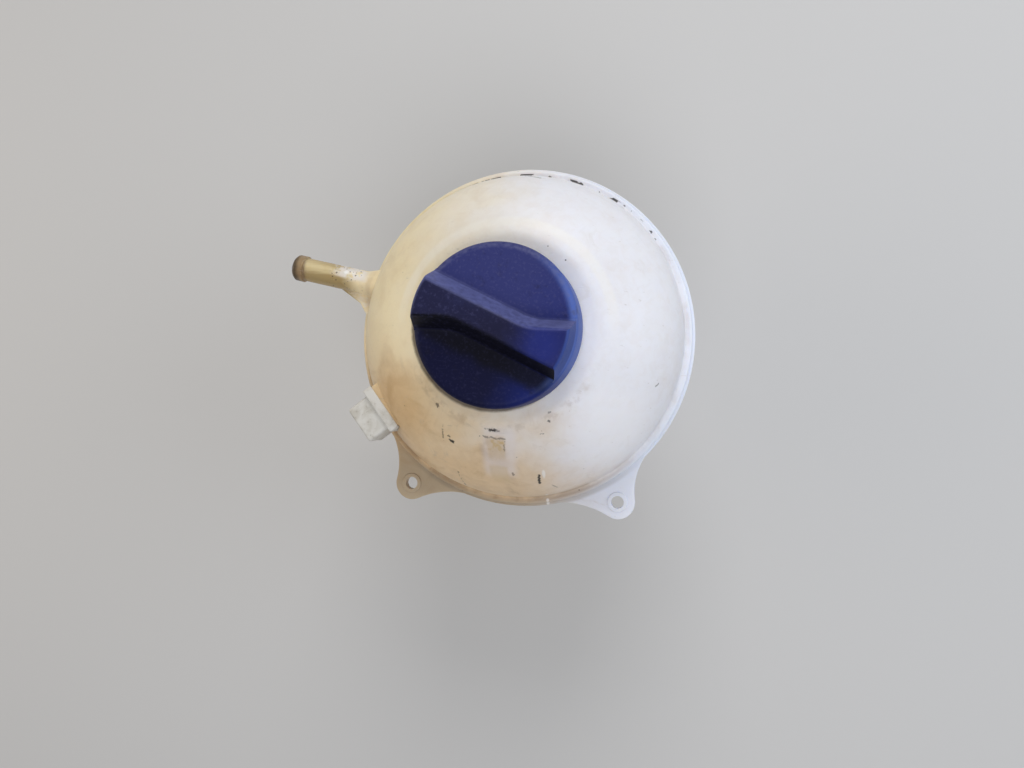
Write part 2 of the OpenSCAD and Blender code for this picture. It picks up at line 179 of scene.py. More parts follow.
def close_mesh():
    """Joins doubled points, turns all faces outwards and leaves edit mode."""
    bpy.ops.mesh.select_all(action="SELECT")
    bpy.ops.mesh.remove_doubles(threshold=touch)
    bpy.ops.mesh.delete_loose(use_faces=False)
    bpy.ops.mesh.select_all(action="SELECT")
    bpy.ops.mesh.normals_make_consistent(inside=False)
    bpy.ops.object.mode_set(mode="OBJECT")


print("points closer than", round(touch / MM, 4), "mm become one")


# %% Bodies from outlines
def turned(name, outline, steps=160, centre=None):
    """A body spun from (radius, height) points about the ball's axis, or about another centre."""
    middle = ball_axis if centre is None else Vector(centre)
    piece = draw(name, [Vector((r, 0, z)) + middle / MM for r, z in outline])
    bpy.ops.mesh.spin(steps=steps, angle=2 * math.pi, center=middle, axis=(0, 0, 1))
    close_mesh()
    return piece


def plate(name, outline, low, high):
    """A plate between two heights with an outline of (x, y) points."""
    piece = draw(name, [Vector((x, y, low)) for x, y in outline])
    bpy.ops.mesh.edge_face_add()
    bpy.ops.mesh.extrude_region_move(TRANSFORM_OT_translate={"value": (0, 0, (high - low) * MM)})
    close_mesh()
    return piece


def block(name, x0, x1, width, height):
    """A block along X from x0 to x1, centred on Y and Z."""
    bpy.ops.object.select_all(action="DESELECT")
    bpy.ops.mesh.primitive_cube_add(size=1, location=((x0 + x1) / 2 * MM, 0, 0))
    piece = bpy.context.object
    piece.name = name
    piece.scale = ((x1 - x0) * MM, width * MM, height * MM)
    bpy.ops.object.transform_apply(location=True, rotation=True, scale=True)
    return piece


print("bodies are", [maker.__name__ for maker in (turned, plate, block)])


# %% Bevels, cuts and moves
lay_down = Matrix.Rotation(math.radians(90), 4, "Y")


def apply_modifier(piece, kind, settings):
    """Adds a modifier, sets it and applies it."""
    select_only(piece)
    bpy.ops.object.modifier_add(type=kind)
    modifier = piece.modifiers[-1]
    for name, value in settings.items():
        setattr(modifier, name, value)
    bpy.ops.object.modifier_apply(modifier=modifier.name)
    return piece


def bevelled(piece, width, segments=3, angle=40):
    """Rounds the piece's sharp edges."""
    settings = {"width": width * MM, "segments": segments, "limit_method": "ANGLE",
                "angle_limit": math.radians(angle)}
    return apply_modifier(piece, "BEVEL", settings)


def shaped(piece, operation, *tools):
    """Adds tools to a piece, cuts them from it or keeps what they share, and removes them."""
    for tool in tools:
        settings = {"operation": operation, "object": tool, "solver": "MANIFOLD"}
        apply_modifier(piece, "BOOLEAN", settings)
        bpy.data.meshes.remove(tool.data)
    return piece


def moved(piece, matrix):
    """Moves a piece and leaves its object at the origin, unturned."""
    select_only(piece)
    piece.matrix_world = matrix
    bpy.ops.object.transform_apply(location=True, rotation=True, scale=True)
    return piece


def copied(piece, matrix):
    """A copy of a piece with a mesh of its own, moved."""
    copy = piece.copy()
    copy.data = piece.data.copy()
    bpy.context.scene.collection.objects.link(copy)
    return moved(copy, matrix)


def discard(piece):
    """Takes away a piece that only served to be copied."""
    bpy.data.meshes.remove(piece.data)


print("a turned piece is laid down by", round(math.degrees(lay_down.to_euler().y)), "degrees")


# %% Headings, and the last step of every piece
smooth_angle = 38


def heading_frame(heading, side, height):
    """A frame on the ball's axis whose X heads outwards, moved to one side."""
    turn = Matrix.Rotation(math.radians(heading), 4, "Z")
    lift = Matrix.Translation(ball_axis + Vector((0, 0, height * MM)))
    return lift @ turn @ Matrix.Translation((0, -side * MM, 0))


def finish_piece(piece, body, slot, material, *nodes):
    """Smooths a modelled piece, dresses it and lets it stand for its CAD nodes."""
    select_only(piece)
    bpy.ops.object.shade_smooth_by_angle(angle=math.radians(smooth_angle))
    piece.data.materials.clear()
    piece.data.materials.append(material)
    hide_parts(*nodes)
    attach(piece, body)
    print(piece.name, "has", len(piece.data.polygons), "faces and stands for", ", ".join(nodes))


print("faces meet softly under", smooth_angle, "degrees")

# %% [markdown]
# ## The front shell
#
# The dome is a flattened half ball: an ellipse in section, cut flat at the shoulder round the
# neck. The section is one closed outline from the weld face out to the rim, over the dome, up the
# neck and back inside. The vent spigot's root flares into the dome as the mould's polished corner
# does, a web ties it to the rim, and the level sensor gets a boss with a seat cut into the dome's
# side.

# %% Shared sizes
wall = 3.0
front_rim_r = rim_r / MM
weld_z = shell_low.z / MM
rim_t = 3.5
rim_w = 4
neck_rise = 17
foot_z = weld_z + rim_t
dome_r = front_rim_r - rim_w
neck_top_z = neck_top / MM
shoulder_z = neck_top_z - neck_rise
shoulder_r = 46
dome_h = (shoulder_z - foot_z) / math.sqrt(1 - (shoulder_r / dome_r) ** 2)
neck_bore_r = 24.5
neck_r = 29.0


def dome_point(angle, inset):
    """A point of the dome's section, moved inwards by inset."""
    a = math.radians(angle)
    out = Vector((math.cos(a) / dome_r, math.sin(a) / dome_h)).normalized()
    return Vector((dome_r * math.cos(a), foot_z + dome_h * math.sin(a))) - inset * out


print("dome height in mm", round(dome_h, 2), "shoulder at", round(shoulder_z, 2))


# %% Screw threads
thread_pitch = 5.0
thread_turns = 2
ridge_w = 2.0
ridge_root = 0.4


def screwed(piece, turns, climb, steps):
    """Screws an outline up the ball's axis by climb a turn and closes both ends."""
    bpy.ops.object.mode_set(mode="OBJECT")
    apply_modifier(piece, "SCREW", {
        "angle": 2 * math.pi, "iterations": turns, "steps": steps, "render_steps": steps,
        "screw_offset": climb * MM, "axis": "Z", "use_merge_vertices": False,
    })
    bpy.ops.object.mode_set(mode="EDIT")
    bpy.ops.mesh.select_all(action="SELECT")
    bpy.ops.mesh.fill_holes(sides=24)
    close_mesh()
    return moved(piece, Matrix.Translation(ball_axis))


def thread(name, root_r, crest_r, low):
    """One helical ridge on or in a tube, from a section that is drawn once."""
    sunk = ridge_root if crest_r > root_r else -ridge_root
    section = [(root_r - sunk, low), (crest_r, low + ridge_w * 0.3),
               (crest_r, low + ridge_w * 0.7), (root_r - sunk, low + ridge_w)]
    piece = draw(name, [Vector((r, 0, z)) for r, z in section])
    return screwed(piece, thread_turns, thread_pitch, 80)


print("threads climb", thread_pitch, "mm a turn over", thread_turns, "turns")


# %% Place the vent spigot and the sensor
vent_start = 72
flare_start = 82.5
flare_end = 89
flare_r = 12
vent_tip = 131
vent_r = 6.3
vent_root_r = 8.6
vent_bead_r = 7.1
vent_bore_r = 3.5
vent_mouth_r = 4.3
seat_x = 78
collar_back = 75.8
boss_size = (24.8, 20.8)
seat_size = (26.6, 22.6)
sensor_hole_r = 7.8
vent_frame = heading_frame(heading=170.5, side=9.3, height=weld_z + 10)
sensor_frame = heading_frame(heading=220, side=9.7, height=weld_z + 19)

for title, place, reach in (("vent tip", vent_frame, vent_tip), ("seat", sensor_frame, seat_x)):
    middle = place @ Vector((reach * MM, 0, 0))
    print(title, "at", [round(value / MM, 1) for value in middle])


# %% The front shell's section and its spigot
def front_section():
    """The front shell's closed section, from the weld face outwards and over the dome."""
    outside = [dome_point(angle, 0) for angle in range(4, 50, 2)]
    inside = [dome_point(angle, wall) for angle in range(48, 1, -2)]
    return rounded(
        [(dome_r - wall, weld_z), (front_rim_r, weld_z, 0.5), (front_rim_r, foot_z, 1.1),
         (dome_r + 0.1, foot_z, 1.6)]
        + [tuple(point) for point in outside]
        + [(shoulder_r, shoulder_z, 13), (neck_r, shoulder_z, 2.2), (neck_r, neck_top_z, 0.8),
           (neck_bore_r, neck_top_z, 0.8), (neck_bore_r, shoulder_z - wall, 1.2),
           (shoulder_r - 1.5, shoulder_z - wall, 8)]
        + [tuple(point) for point in inside]
    )


def vent_spigot():
    """The vent spigot's tube with its flared root and its bead."""
    section = rounded([
        (0, vent_start), (vent_root_r, vent_start), (vent_root_r, flare_start),
        (vent_r, flare_end, flare_r),
        (vent_r, vent_tip - 6.3, 0.4), (vent_bead_r, vent_tip - 6.0, 0.35),
        (vent_bead_r, vent_tip - 1.4, 0.9), (vent_r - 0.4, vent_tip, 0.5), (0, vent_tip),
    ])
    return moved(turned("vent_tube", section, 64, (0, 0, 0)), vent_frame @ lay_down)


def vent_bore():
    """The hole down the vent spigot, with a soft mouth."""
    inside = vent_start - 10
    section = [(0, inside), (vent_bore_r, inside), (vent_bore_r, vent_tip - 0.8),
               (vent_mouth_r, vent_tip + 0.1), (vent_mouth_r, vent_tip + 2), (0, vent_tip + 2)]
    return moved(turned("vent_bore", section, 48, (0, 0, 0)), vent_frame @ lay_down)


def vent_web():
    """The web that ties the spigot to the rim."""
    back_r = back_high.x / MM
    outline = rounded([(79, 0), (back_r + 20, 0, 2), (back_r + 15, 5.4, 6),
                       (back_r + 0.6, 11.5, 2), (84, 19, 6), (79, 20)], 8)
    web_low, web_high = -9.95, -0.6
    web = plate("vent_web", outline, web_low, web_high)
    return moved(bevelled(web, 1.0), vent_frame)


print("front section has", len(front_section()), "points")


# %% Model the front shell
def sensor_boss():
    """The boss under the level sensor, with soft edges."""
    boss = block("sensor_boss", seat_x - 20, seat_x - 0.05, *boss_size)
    return moved(bevelled(boss, 1.2, 4), sensor_frame)


def sensor_seat():
    """The room that the socket's collar takes in the dome's side."""
    seat = block("sensor_seat", collar_back - 0.2, seat_x + 20, *seat_size)
    return moved(bevelled(seat, 0.6, 2), sensor_frame)


def sensor_hole():
    """The hole for the socket's plug."""
    section = [(0, 50), (sensor_hole_r, 50), (sensor_hole_r, 82), (0, 82)]
    return moved(turned("sensor_hole", section, 64, (0, 0, 0)), sensor_frame @ lay_down)


front_shell = turned("front_shell", front_section())
shaped(front_shell, "DIFFERENCE", sensor_seat())
shaped(front_shell, "UNION", sensor_boss(), vent_spigot(), vent_web())
shaped(front_shell, "DIFFERENCE", vent_bore(), sensor_hole())
shaped(front_shell, "UNION", thread("neck_thread", neck_r, neck_r + 1.9, shoulder_z + 4))
print("front shell spans", [round(size / MM, 1) for size in front_shell.dimensions])

# %% [markdown]
# ## The back shell
#
# The lower half is a true half ball with the wider rim, on which the two lugs are moulded. Each
# lug's outline runs into the rim by hollow sweeps, so its centre is found where a circle touches
# the rim and the lug's round end. Under the ball the outlet is welded on by a flange, and four
# gussets brace it. One gusset is modelled and copied round.

# %% The back shell's section
ball_r = dome_r - 0.5
back_rim_r = back_high.x / MM
outlet_r = 12
outlet_bore_r = 9
outlet_bead_r = outlet_r + 1.2
flange_r = 18
pad_r = 20
outlet_tip_z = outlet_low.z / MM
pad_z = outlet_high.z / MM


def back_section():
    """The back shell's closed section with the outlet under it."""
    outside = [(ball_r * math.cos(a), weld_z + ball_r * math.sin(a))
               for a in [math.radians(angle) for angle in range(-74, -6, 3)]]
    inside = [((ball_r - wall) * math.cos(a), weld_z + (ball_r - wall) * math.sin(a))
              for a in [math.radians(angle) for angle in range(-3, -81, -3)]]
    return rounded(
        [(ball_r - wall, weld_z)]
        + inside
        + [(outlet_bore_r, weld_z - ball_r + wall + 0.5, 0.8), (outlet_bore_r, outlet_tip_z, 0.8),
           (outlet_r, outlet_tip_z, 0.8), (outlet_r, outlet_tip_z + 1.4, 0.3),
           (outlet_bead_r, outlet_tip_z + 1.6, 0.5), (outlet_bead_r, outlet_tip_z + 3.5, 0.6),
           (outlet_r, outlet_tip_z + 5.2, 0.8), (outlet_r, pad_z - 3, 1.2),
           (flange_r, pad_z - 3, 0.6), (flange_r, pad_z, 0.3), (pad_r, pad_z, 0.8),
           (pad_r, weld_z - ball_r + 3, 2)]
        + outside
        + [(ball_r, 0.1, 2.2), (back_rim_r, 0, 0.9), (back_rim_r, weld_z, 0.6)]
    )


print("back section has", len(back_section()), "points")


# %% The lug's outline
lug_x = 56
lug_end_r = 9
lug_hole_r = 3.25
lug_countersink_r = 3.6
eyelet_r = 5.25
sweep_out_r = 34
sweep_in_r = 45
lug_root = 0.83


def lug_outline(side):
    """One lug from the ball's axis out, with its hollow sweeps, on the side -1 or 1."""
    root_r = back_rim_r - 0.6
    hole = Vector((lug_x, -axis_y / MM))
    reach = hole.length
    along = hole / reach
    across = Vector((-along.y, along.x))
    edges = []
    for turn, sweep_r in ((1, sweep_out_r), (-1, sweep_in_r)):
        to_root = root_r + sweep_r
        to_end = lug_end_r + sweep_r
        u = (reach ** 2 + to_root ** 2 - to_end ** 2) / (2 * reach)
        centre = u * along + turn * math.sqrt(to_root ** 2 - u ** 2) * across
        first = -centre.normalized() * sweep_r
        last = (hole - centre).normalized() * sweep_r
        edges.append([centre + arm for arm in swung(first, last, 14)])
    middle = along * lug_end_r
    tip = [hole + arm for arm in swung(edges[0][-1] - hole, middle, 8)[1:]]
    tip += [hole + arm for arm in swung(middle, edges[1][-1] - hole, 8)[1:-1]]
    points = edges[0] + tip + edges[1][::-1] + [hole * lug_root]
    return [(side * p.x, p.y + axis_y / MM) for p in points]


print("lug outline has", len(lug_outline(1)), "points")


# %% Model the back shell
def outlet_gusset():
    """The web between the outlet's tube and its flange, drawn along X."""
    top = pad_z - 2.5
    reach = flange_r - 1
    section = [(outlet_r - 1, top - 9), (outlet_r - 1, top), (reach, top), (reach, top - 1.5)]
    web = draw("gusset", [Vector((r, -1.5, z)) for r, z in section])
    bpy.ops.mesh.edge_face_add()
    bpy.ops.mesh.extrude_region_move(TRANSFORM_OT_translate={"value": (0, 3 * MM, 0)})
    close_mesh()
    return bevelled(web, 0.4, 2)


back_shell = turned("back_shell", back_section())
for side in (-1, 1):
    hole_place = (side * lug_x * MM, 0, 0)
    lug = bevelled(plate("lug", lug_outline(side), 0.01, weld_z - 0.02), 0.8, 3)
    ring = rounded([(0, 1), (eyelet_r, 1), (eyelet_r, 4.5, 0.35), (0, 4.5)])
    eyelet = turned("eyelet", ring, 48, hole_place)
    drill = [(0, -2), (lug_countersink_r, -2), (lug_hole_r, 0.4), (lug_hole_r, 4.2),
             (lug_countersink_r, 6), (0, 6)]
    hole = turned("lug_hole", drill, 48, hole_place)
    shaped(back_shell, "UNION", lug, eyelet)
    shaped(back_shell, "DIFFERENCE", hole)
gusset = outlet_gusset()
for turn in (45, 135, 225, 315):
    place = Matrix.Translation(ball_axis) @ Matrix.Rotation(math.radians(turn), 4, "Z")
    shaped(back_shell, "UNION", copied(gusset, place))
discard(gusset)
print("back shell spans", [round(size / MM, 1) for size in back_shell.dimensions])

# %% [markdown]
# ## The cap
#
# The cap closes the neck and carries the pressure valve on its underside. Its top, skirt, thread
# ring and valve hub are one turned section, because the mould for such a cap is turned too.

# %% The cap's section
skirt_z = cap_low.z / MM
grip_h = 12
cap_top_t = 3
cap_top_z = cap_high.z / MM - grip_h
under_z = cap_top_z - cap_top_t
cap_radius = cap_r / MM
cap_edge_r = 3.2
hub_r = 19
hub_out_r = 21.5
hub_lip_r = 17.9
hub_lip_z = under_z - 5.7
hub_lip_t = 1.4
ring_in_r = 31.4
ring_out_r = 33.6
skirt_in_r = 35.5


def cap_section():
    """The cap's closed section: top, skirt, thread ring and the hub that holds the valve."""
    return rounded([
        (0, cap_top_z), (0, under_z), (hub_r, under_z, 0.4), (hub_r, hub_lip_z + hub_lip_t),
        (hub_lip_r, hub_lip_z + hub_lip_t, 0.2), (hub_lip_r, hub_lip_z, 0.3),
        (hub_out_r, hub_lip_z, 0.4), (hub_out_r, under_z, 0.6),
        (ring_in_r, under_z, 0.6), (ring_in_r, skirt_z + 1, 0.4),
        (ring_out_r, skirt_z + 1, 0.4), (ring_out_r, under_z, 0.5),
        (skirt_in_r, under_z, 0.5), (skirt_in_r, skirt_z, 0.5),
        (cap_radius, skirt_z, 0.6), (cap_radius, cap_top_z, cap_edge_r),
    ])


print("cap section has", len(cap_section()), "points")

# %% [markdown]
# The grip is the bar that fingers turn. Its flanks lean while its two bends stay round, which an
# extrusion can't give, so it is lofted: the same S-shaped outline is drawn at each height, wider
# at its foot and narrower at its crest, and the outlines are bridged. A cone then trims it, so
# that its ends stand back from the cap's edge.

# %% The grip's outlines
grip_turn = math.radians(-22.8)
grip_half = 5.5
grip_spread = 4.3
foot_spread = grip_spread + 1.5
foot_r = 1.6
crest_edge_r = 2.6
crest_level = -1.2
bend_r = 26


def grip_outline(spread, height):
    """The grip's S-shaped outline at one height, as 3-D points on the ball's axis."""
    half = grip_half + spread
    level = crest_level + spread
    rise = half / math.cos(grip_turn)
    slope = math.tan(grip_turn)
    bend_x = (level - rise) / slope
    beyond = cap_radius + 8
    cut = bend_r * math.tan(-grip_turn / 2)
    edge = [(-beyond, rise - slope * beyond)]
    bend_start = 270 + math.degrees(grip_turn)
    edge += arc_points((bend_x + cut, level + bend_r), bend_r, bend_start, 270, 14)
    edge += [(beyond, level)]
    other = [(-x, -y) for x, y in edge]
    return [Vector((x, y, height)) + ball_axis / MM for x, y in edge[::-1] + other[::-1]]


def grip_layers():
    """Heights above the cap's top with the flanks' spread: hollow foot, flank and crest."""
    foot = [(foot_r - foot_r * math.cos(math.radians(a)),
             foot_spread - foot_r * math.sin(math.radians(a)))
            for a in (0, 22, 45, 65)]
    crest = [(grip_h - crest_edge_r + crest_edge_r * math.sin(math.radians(a)),
              0.5 - crest_edge_r + crest_edge_r * math.cos(math.radians(a)))
             for a in (10, 26, 42, 58, 74, 90)]
    return [(-3.0, foot_spread)] + foot + crest


print("the grip is lofted through", len(grip_layers()), "outlines")


# %% Loft the grip
def cap_grip():
    """The lofted grip, trimmed to a cone with a soft edge."""
    layers = grip_layers()
    height, spread = layers[0]
    piece = draw("grip", grip_outline(spread, cap_top_z + height))
    bpy.ops.mesh.edge_face_add()
    bpy.ops.object.mode_set(mode="OBJECT")
    loops = [piece]
    for height, spread in layers[1:]:
        loops.append(draw("grip_loop", grip_outline(spread, cap_top_z + height)))
        bpy.ops.object.mode_set(mode="OBJECT")
    bpy.ops.object.select_all(action="DESELECT")
    for loop in loops:
        loop.select_set(True)
    bpy.context.view_layer.objects.active = piece
    bpy.ops.object.join()
    bpy.ops.object.mode_set(mode="EDIT")
    bpy.ops.mesh.select_all(action="SELECT")
    bpy.ops.mesh.delete(type="ONLY_FACE")
    bpy.ops.mesh.select_all(action="SELECT")
    bpy.ops.mesh.bridge_edge_loops()
    bpy.ops.mesh.select_all(action="DESELECT")
    bpy.ops.mesh.select_non_manifold(extend=False)
    bpy.ops.mesh.edge_face_add()
    close_mesh()
    trim_low, trim_high = cap_top_z - 2.8, cap_top_z + grip_h
    trim = turned("grip_trim", rounded([
        (0, trim_low), (cap_radius - 0.3, trim_low),
        (cap_radius - 2.3, trim_high, crest_edge_r), (0, trim_high),
    ]), 128)
    return shaped(piece, "INTERSECT", trim)


grip = cap_grip()
print("grip spans", [round(size / MM, 1) for size in grip.dimensions])

# %% [markdown]
# Ribs stiffen the skirt against the thread ring. One is modelled and copied round. Then all is
# joined to the turned cap, and a screw thread like the neck's is added inside the ring.

# %% Model the cap
rib_t = 1.4


def cap_ribs():
    """Twelve ribs between the thread ring and the skirt, modelled once and copied."""
    low, high = under_z - 9, under_z + 0.5
    rib = block("cap_rib", ring_out_r - 0.3, skirt_in_r + 0.4, rib_t, high - low)
    place = Matrix.Translation(ball_axis + Vector((0, 0, (low + high) / 2 * MM)))
    turns = [Matrix.Rotation(math.radians(turn), 4, "Z") for turn in range(0, 360, 30)]
    ribs = [copied(rib, place @ turn) for turn in turns]
    discard(rib)
    return ribs


cap = turned("screw_cap", cap_section())
shaped(cap, "UNION", grip, *cap_ribs())
shaped(cap, "UNION", thread("cap_thread", ring_in_r, ring_in_r - 1.8, shoulder_z + 6.5))
print("cap spans", [round(size / MM, 1) for size in cap.dimensions])

# %% [markdown]
# ## The sensor socket
#
# The socket is a harder plastic than the ball: a collar that sits in the dome's side with its
# gasket in a groove behind it, a plug that reaches through the hole, and a shroud round the two
# contact pins, with the latch nib that a lead's plug clicks over. Blocks with soft edges are
# joined and hollowed.

# %% Model the sensor socket
seal_front = seat_x + 1
collar_front = 81.2
shroud_end = 94.2
collar_size = (26, 22)
gasket_size = (25.1, 21.1)
shroud_size = (20.6, 17.4)
hollow_size = (17.2, 14.2)
nib_size = (5, 1.4)
slit_size = (2.7, 3.2)
nib_z = -9.1
pin_y = 4.5


def sensor_socket():
    """The collar, plug and hollow shroud of the level sensor's socket."""
    socket = bevelled(block("socket", collar_back, collar_front, *collar_size), 0.9, 3)
    groove = block("seal_groove", collar_back - 2, seal_front + 0.02, *gasket_size)
    shroud = bevelled(block("shroud", collar_front - 1, shroud_end, *shroud_size), 1.6, 4)
    hollow = bevelled(block("hollow", collar_front, shroud_end + 4, *hollow_size), 0.8, 3)
    nib = bevelled(block("nib", collar_front + 4.5, shroud_end - 1.8, *nib_size), 0.4, 2)
    section = rounded([(0, seal_front - 8), (7.5, seal_front - 8, 0.6), (7.5, collar_front - 1),
                       (0, collar_front - 1)])
    plug = turned("plug", section, 64, (0, 0, 0))
    moved(plug, lay_down)
    moved(nib, Matrix.Translation((0, 0, nib_z * MM)))
    shaped(socket, "DIFFERENCE", groove)
    shaped(socket, "UNION", shroud, plug, nib)
    shaped(socket, "DIFFERENCE", hollow)
    slit = block("pin_slit", seal_front - 10, collar_front + 1, *slit_size)
    for side in (-1, 1):
        place = Matrix.Translation((0, side * pin_y * MM, 0))
        shaped(socket, "DIFFERENCE", copied(slit, place))
    discard(slit)
    return moved(socket, sensor_frame)


socket = sensor_socket()
print("socket spans", [round(size / MM, 1) for size in socket.dimensions])

# %% [markdown]
# ## The valve springs
#
# Two coil springs work inside the cap: a strong one holds the pressure plate down, and a fine one
# holds the vacuum valve up. Each is a helix of round wire with its ends ground flat, and it grows
# shorter as its valve moves.

# %% Model the valve springs
relief_wire = 1.4
vacuum_wire = 0.6
spring_turns = 4
end_gap = 0.03


def coil_spring(node, wire):
    """A coil of round wire that fills the CAD spring's box, with its ends ground flat."""
    low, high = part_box(node)
    bottom, top = low.z / MM + end_gap, high.z / MM - end_gap
    mean_r = (high.x - low.x) / 2 / MM - wire / 2
    rise = top - bottom - wire / 2
    wire_ring = arc_points((mean_r, bottom + wire / 4), wire / 2, 0, 345, 23)
    piece = draw(node + "_coil", [Vector((r, 0, z)) for r, z in wire_ring])
    screwed(piece, spring_turns, rise / spring_turns, 64)
    reach = mean_r + wire
    room = turned("spring_room", [(0, bottom), (reach, bottom), (reach, top), (0, top)], 64)
    return shaped(piece, "INTERSECT", room)


relief_spring = coil_spring("relief_spring", relief_wire)
vacuum_spring = coil_spring("vacuum_spring", vacuum_wire)
spring_lengths = [round(piece.dimensions.z / MM, 2) for piece in (relief_spring, vacuum_spring)]
print("springs are", spring_lengths, "mm long")

# %% [markdown]
# ## The camera
#
# The photograph was taken from in front of the tank and a little above the cap. Its place was
# fitted to the flange, the lug holes and the cap, so that a point of the model falls on the same
# pixel.

# %% Set the camera
camera_place = Vector((82.74, 53.56, 439.53)) * MM
camera_right = Vector((0.97835, 0.07026, -0.19467))
camera_ahead = Vector((-0.19577, 0.00912, -0.98061))
picture_w = 1024
focal_pixels = 830
sensor_mm = 36


def set_camera():
    """A camera that stands and looks as the photographer's did."""
    camera = bpy.data.objects.new("camera", bpy.data.cameras.new("camera"))
    camera.data.sensor_width = sensor_mm
    camera.data.lens = focal_pixels / picture_w * sensor_mm
    camera.data.clip_start = 10 * MM
    camera_up = camera_right.cross(camera_ahead)
    turn = Matrix((camera_right, camera_up, -camera_ahead)).transposed()
    camera.matrix_world = Matrix.Translation(camera_place) @ turn.to_4x4()
    bpy.context.scene.collection.objects.link(camera)
    bpy.context.scene.camera = camera
    return camera


camera = set_camera()
print("lens", round(camera.data.lens, 2), "mm")

# %% [markdown]
# ## Floor and light
#
# A plain pale floor lies under the outlet. Four broad lamps do the work: a high soft one from the
# top of the picture, which lights the cap's grip from above and leaves its lower side dark, one
# in front, a cool one from the right and a faint warm one from the left. A pale world fills the
# shadows.

# %% Lay the floor and hang the lamps
floor_gap = 1 * MM
floor_size = 6.0
floor_grey = (0.56, 0.56, 0.565, 1)
lamp_target = Vector((0, 0.08, 0))


def lay_floor():
    """The pale floor, level and just under the outlet."""
    bpy.ops.mesh.primitive_plane_add(size=floor_size, location=(0, 0, outlet_low.z - floor_gap))
    floor = bpy.context.object
    floor.name = "floor"
    bpy.ops.object.transform_apply(location=True, rotation=False, scale=False)
    paint = bpy.data.materials.new("pale_floor")
    paint.use_nodes = True
    shader = paint.node_tree.nodes["Principled BSDF"]
    shader.inputs["Base Color"].default_value = floor_grey
    shader.inputs["Roughness"].default_value = 0.75
    floor.data.materials.append(paint)
    floor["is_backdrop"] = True
    return floor


def hang_lamp(name, place, size, watts, colour):
    """A square soft lamp at a place, aimed at the tank."""
    lamp = bpy.data.objects.new(name, bpy.data.lights.new(name, "AREA"))
    lamp.data.size = size
    lamp.data.energy = watts
    lamp.data.color = colour
    lamp.location = place
    lamp.rotation_euler = (lamp_target - Vector(place)).to_track_quat("-Z", "Y").to_euler()
    bpy.context.scene.collection.objects.link(lamp)
    return lamp


def fill_world(colour, strength):
    """An even pale sky."""
    world = bpy.data.worlds.new("studio")
    bpy.context.scene.world = world
    world.use_nodes = True
    background = world.node_tree.nodes["Background"]
    background.inputs["Color"].default_value = colour
    background.inputs["Strength"].default_value = strength


bpy.ops.object.select_all(action="DESELECT")
lay_floor()
hang_lamp("key_lamp", (0.10, 1.15, 0.75), 0.7, 8.8, (1.0, 0.985, 0.96))
hang_lamp("front_lamp", (0.28, -0.62, 1.15), 0.9, 7.4, (1.0, 0.99, 0.98))
hang_lamp("cool_lamp", (0.85, 0.25, 0.45), 0.6, 2.6, (0.84, 0.91, 1.0))
hang_lamp("warm_lamp", (-0.9, 0.1, 0.35), 0.7, 2.0, (1.0, 0.88, 0.72))
fill_world((0.95, 0.97, 1.0, 1), 0.25)
bpy.context.scene.view_settings.view_transform = "Standard"

# %% [markdown]
# ## Writing shader maths as sums
#
# A finish is a formula over the surface: where is it stained, how rough is it there. Building
# that from Math nodes by hand is slow to read. The small class below wraps a number socket, so
# that `1 - mask * 0.4` adds the nodes by itself, and one method adds every other kind of node.
# The finishes are built on a class that knows the nodes and one that knows patterns and places.

# %% A number that travels along a link
class Level:
    """A shader socket that takes part in sums."""

    def __init__(self, finish, socket):
        self.finish = finish
        self.socket = socket

    def __add__(self, other):
        return self.finish.math("ADD", self, other)

    def __radd__(self, other):
        return self.finish.math("ADD", other, self)

    def __sub__(self, other):
        return self.finish.math("SUBTRACT", self, other)

    def __rsub__(self, other):
        return self.finish.math("SUBTRACT", other, self)

    def __mul__(self, other):
        return self.finish.math("MULTIPLY", self, other)

    def __rmul__(self, other):
        return self.finish.math("MULTIPLY", other, self)

    def __truediv__(self, other):
        return self.finish.math("DIVIDE", self, other)

    def beside(self, out):
        """Another output of the same node."""
        return Level(self.finish, self.socket.node.outputs[out])


print("a level can be added, taken away, multiplied and divided")

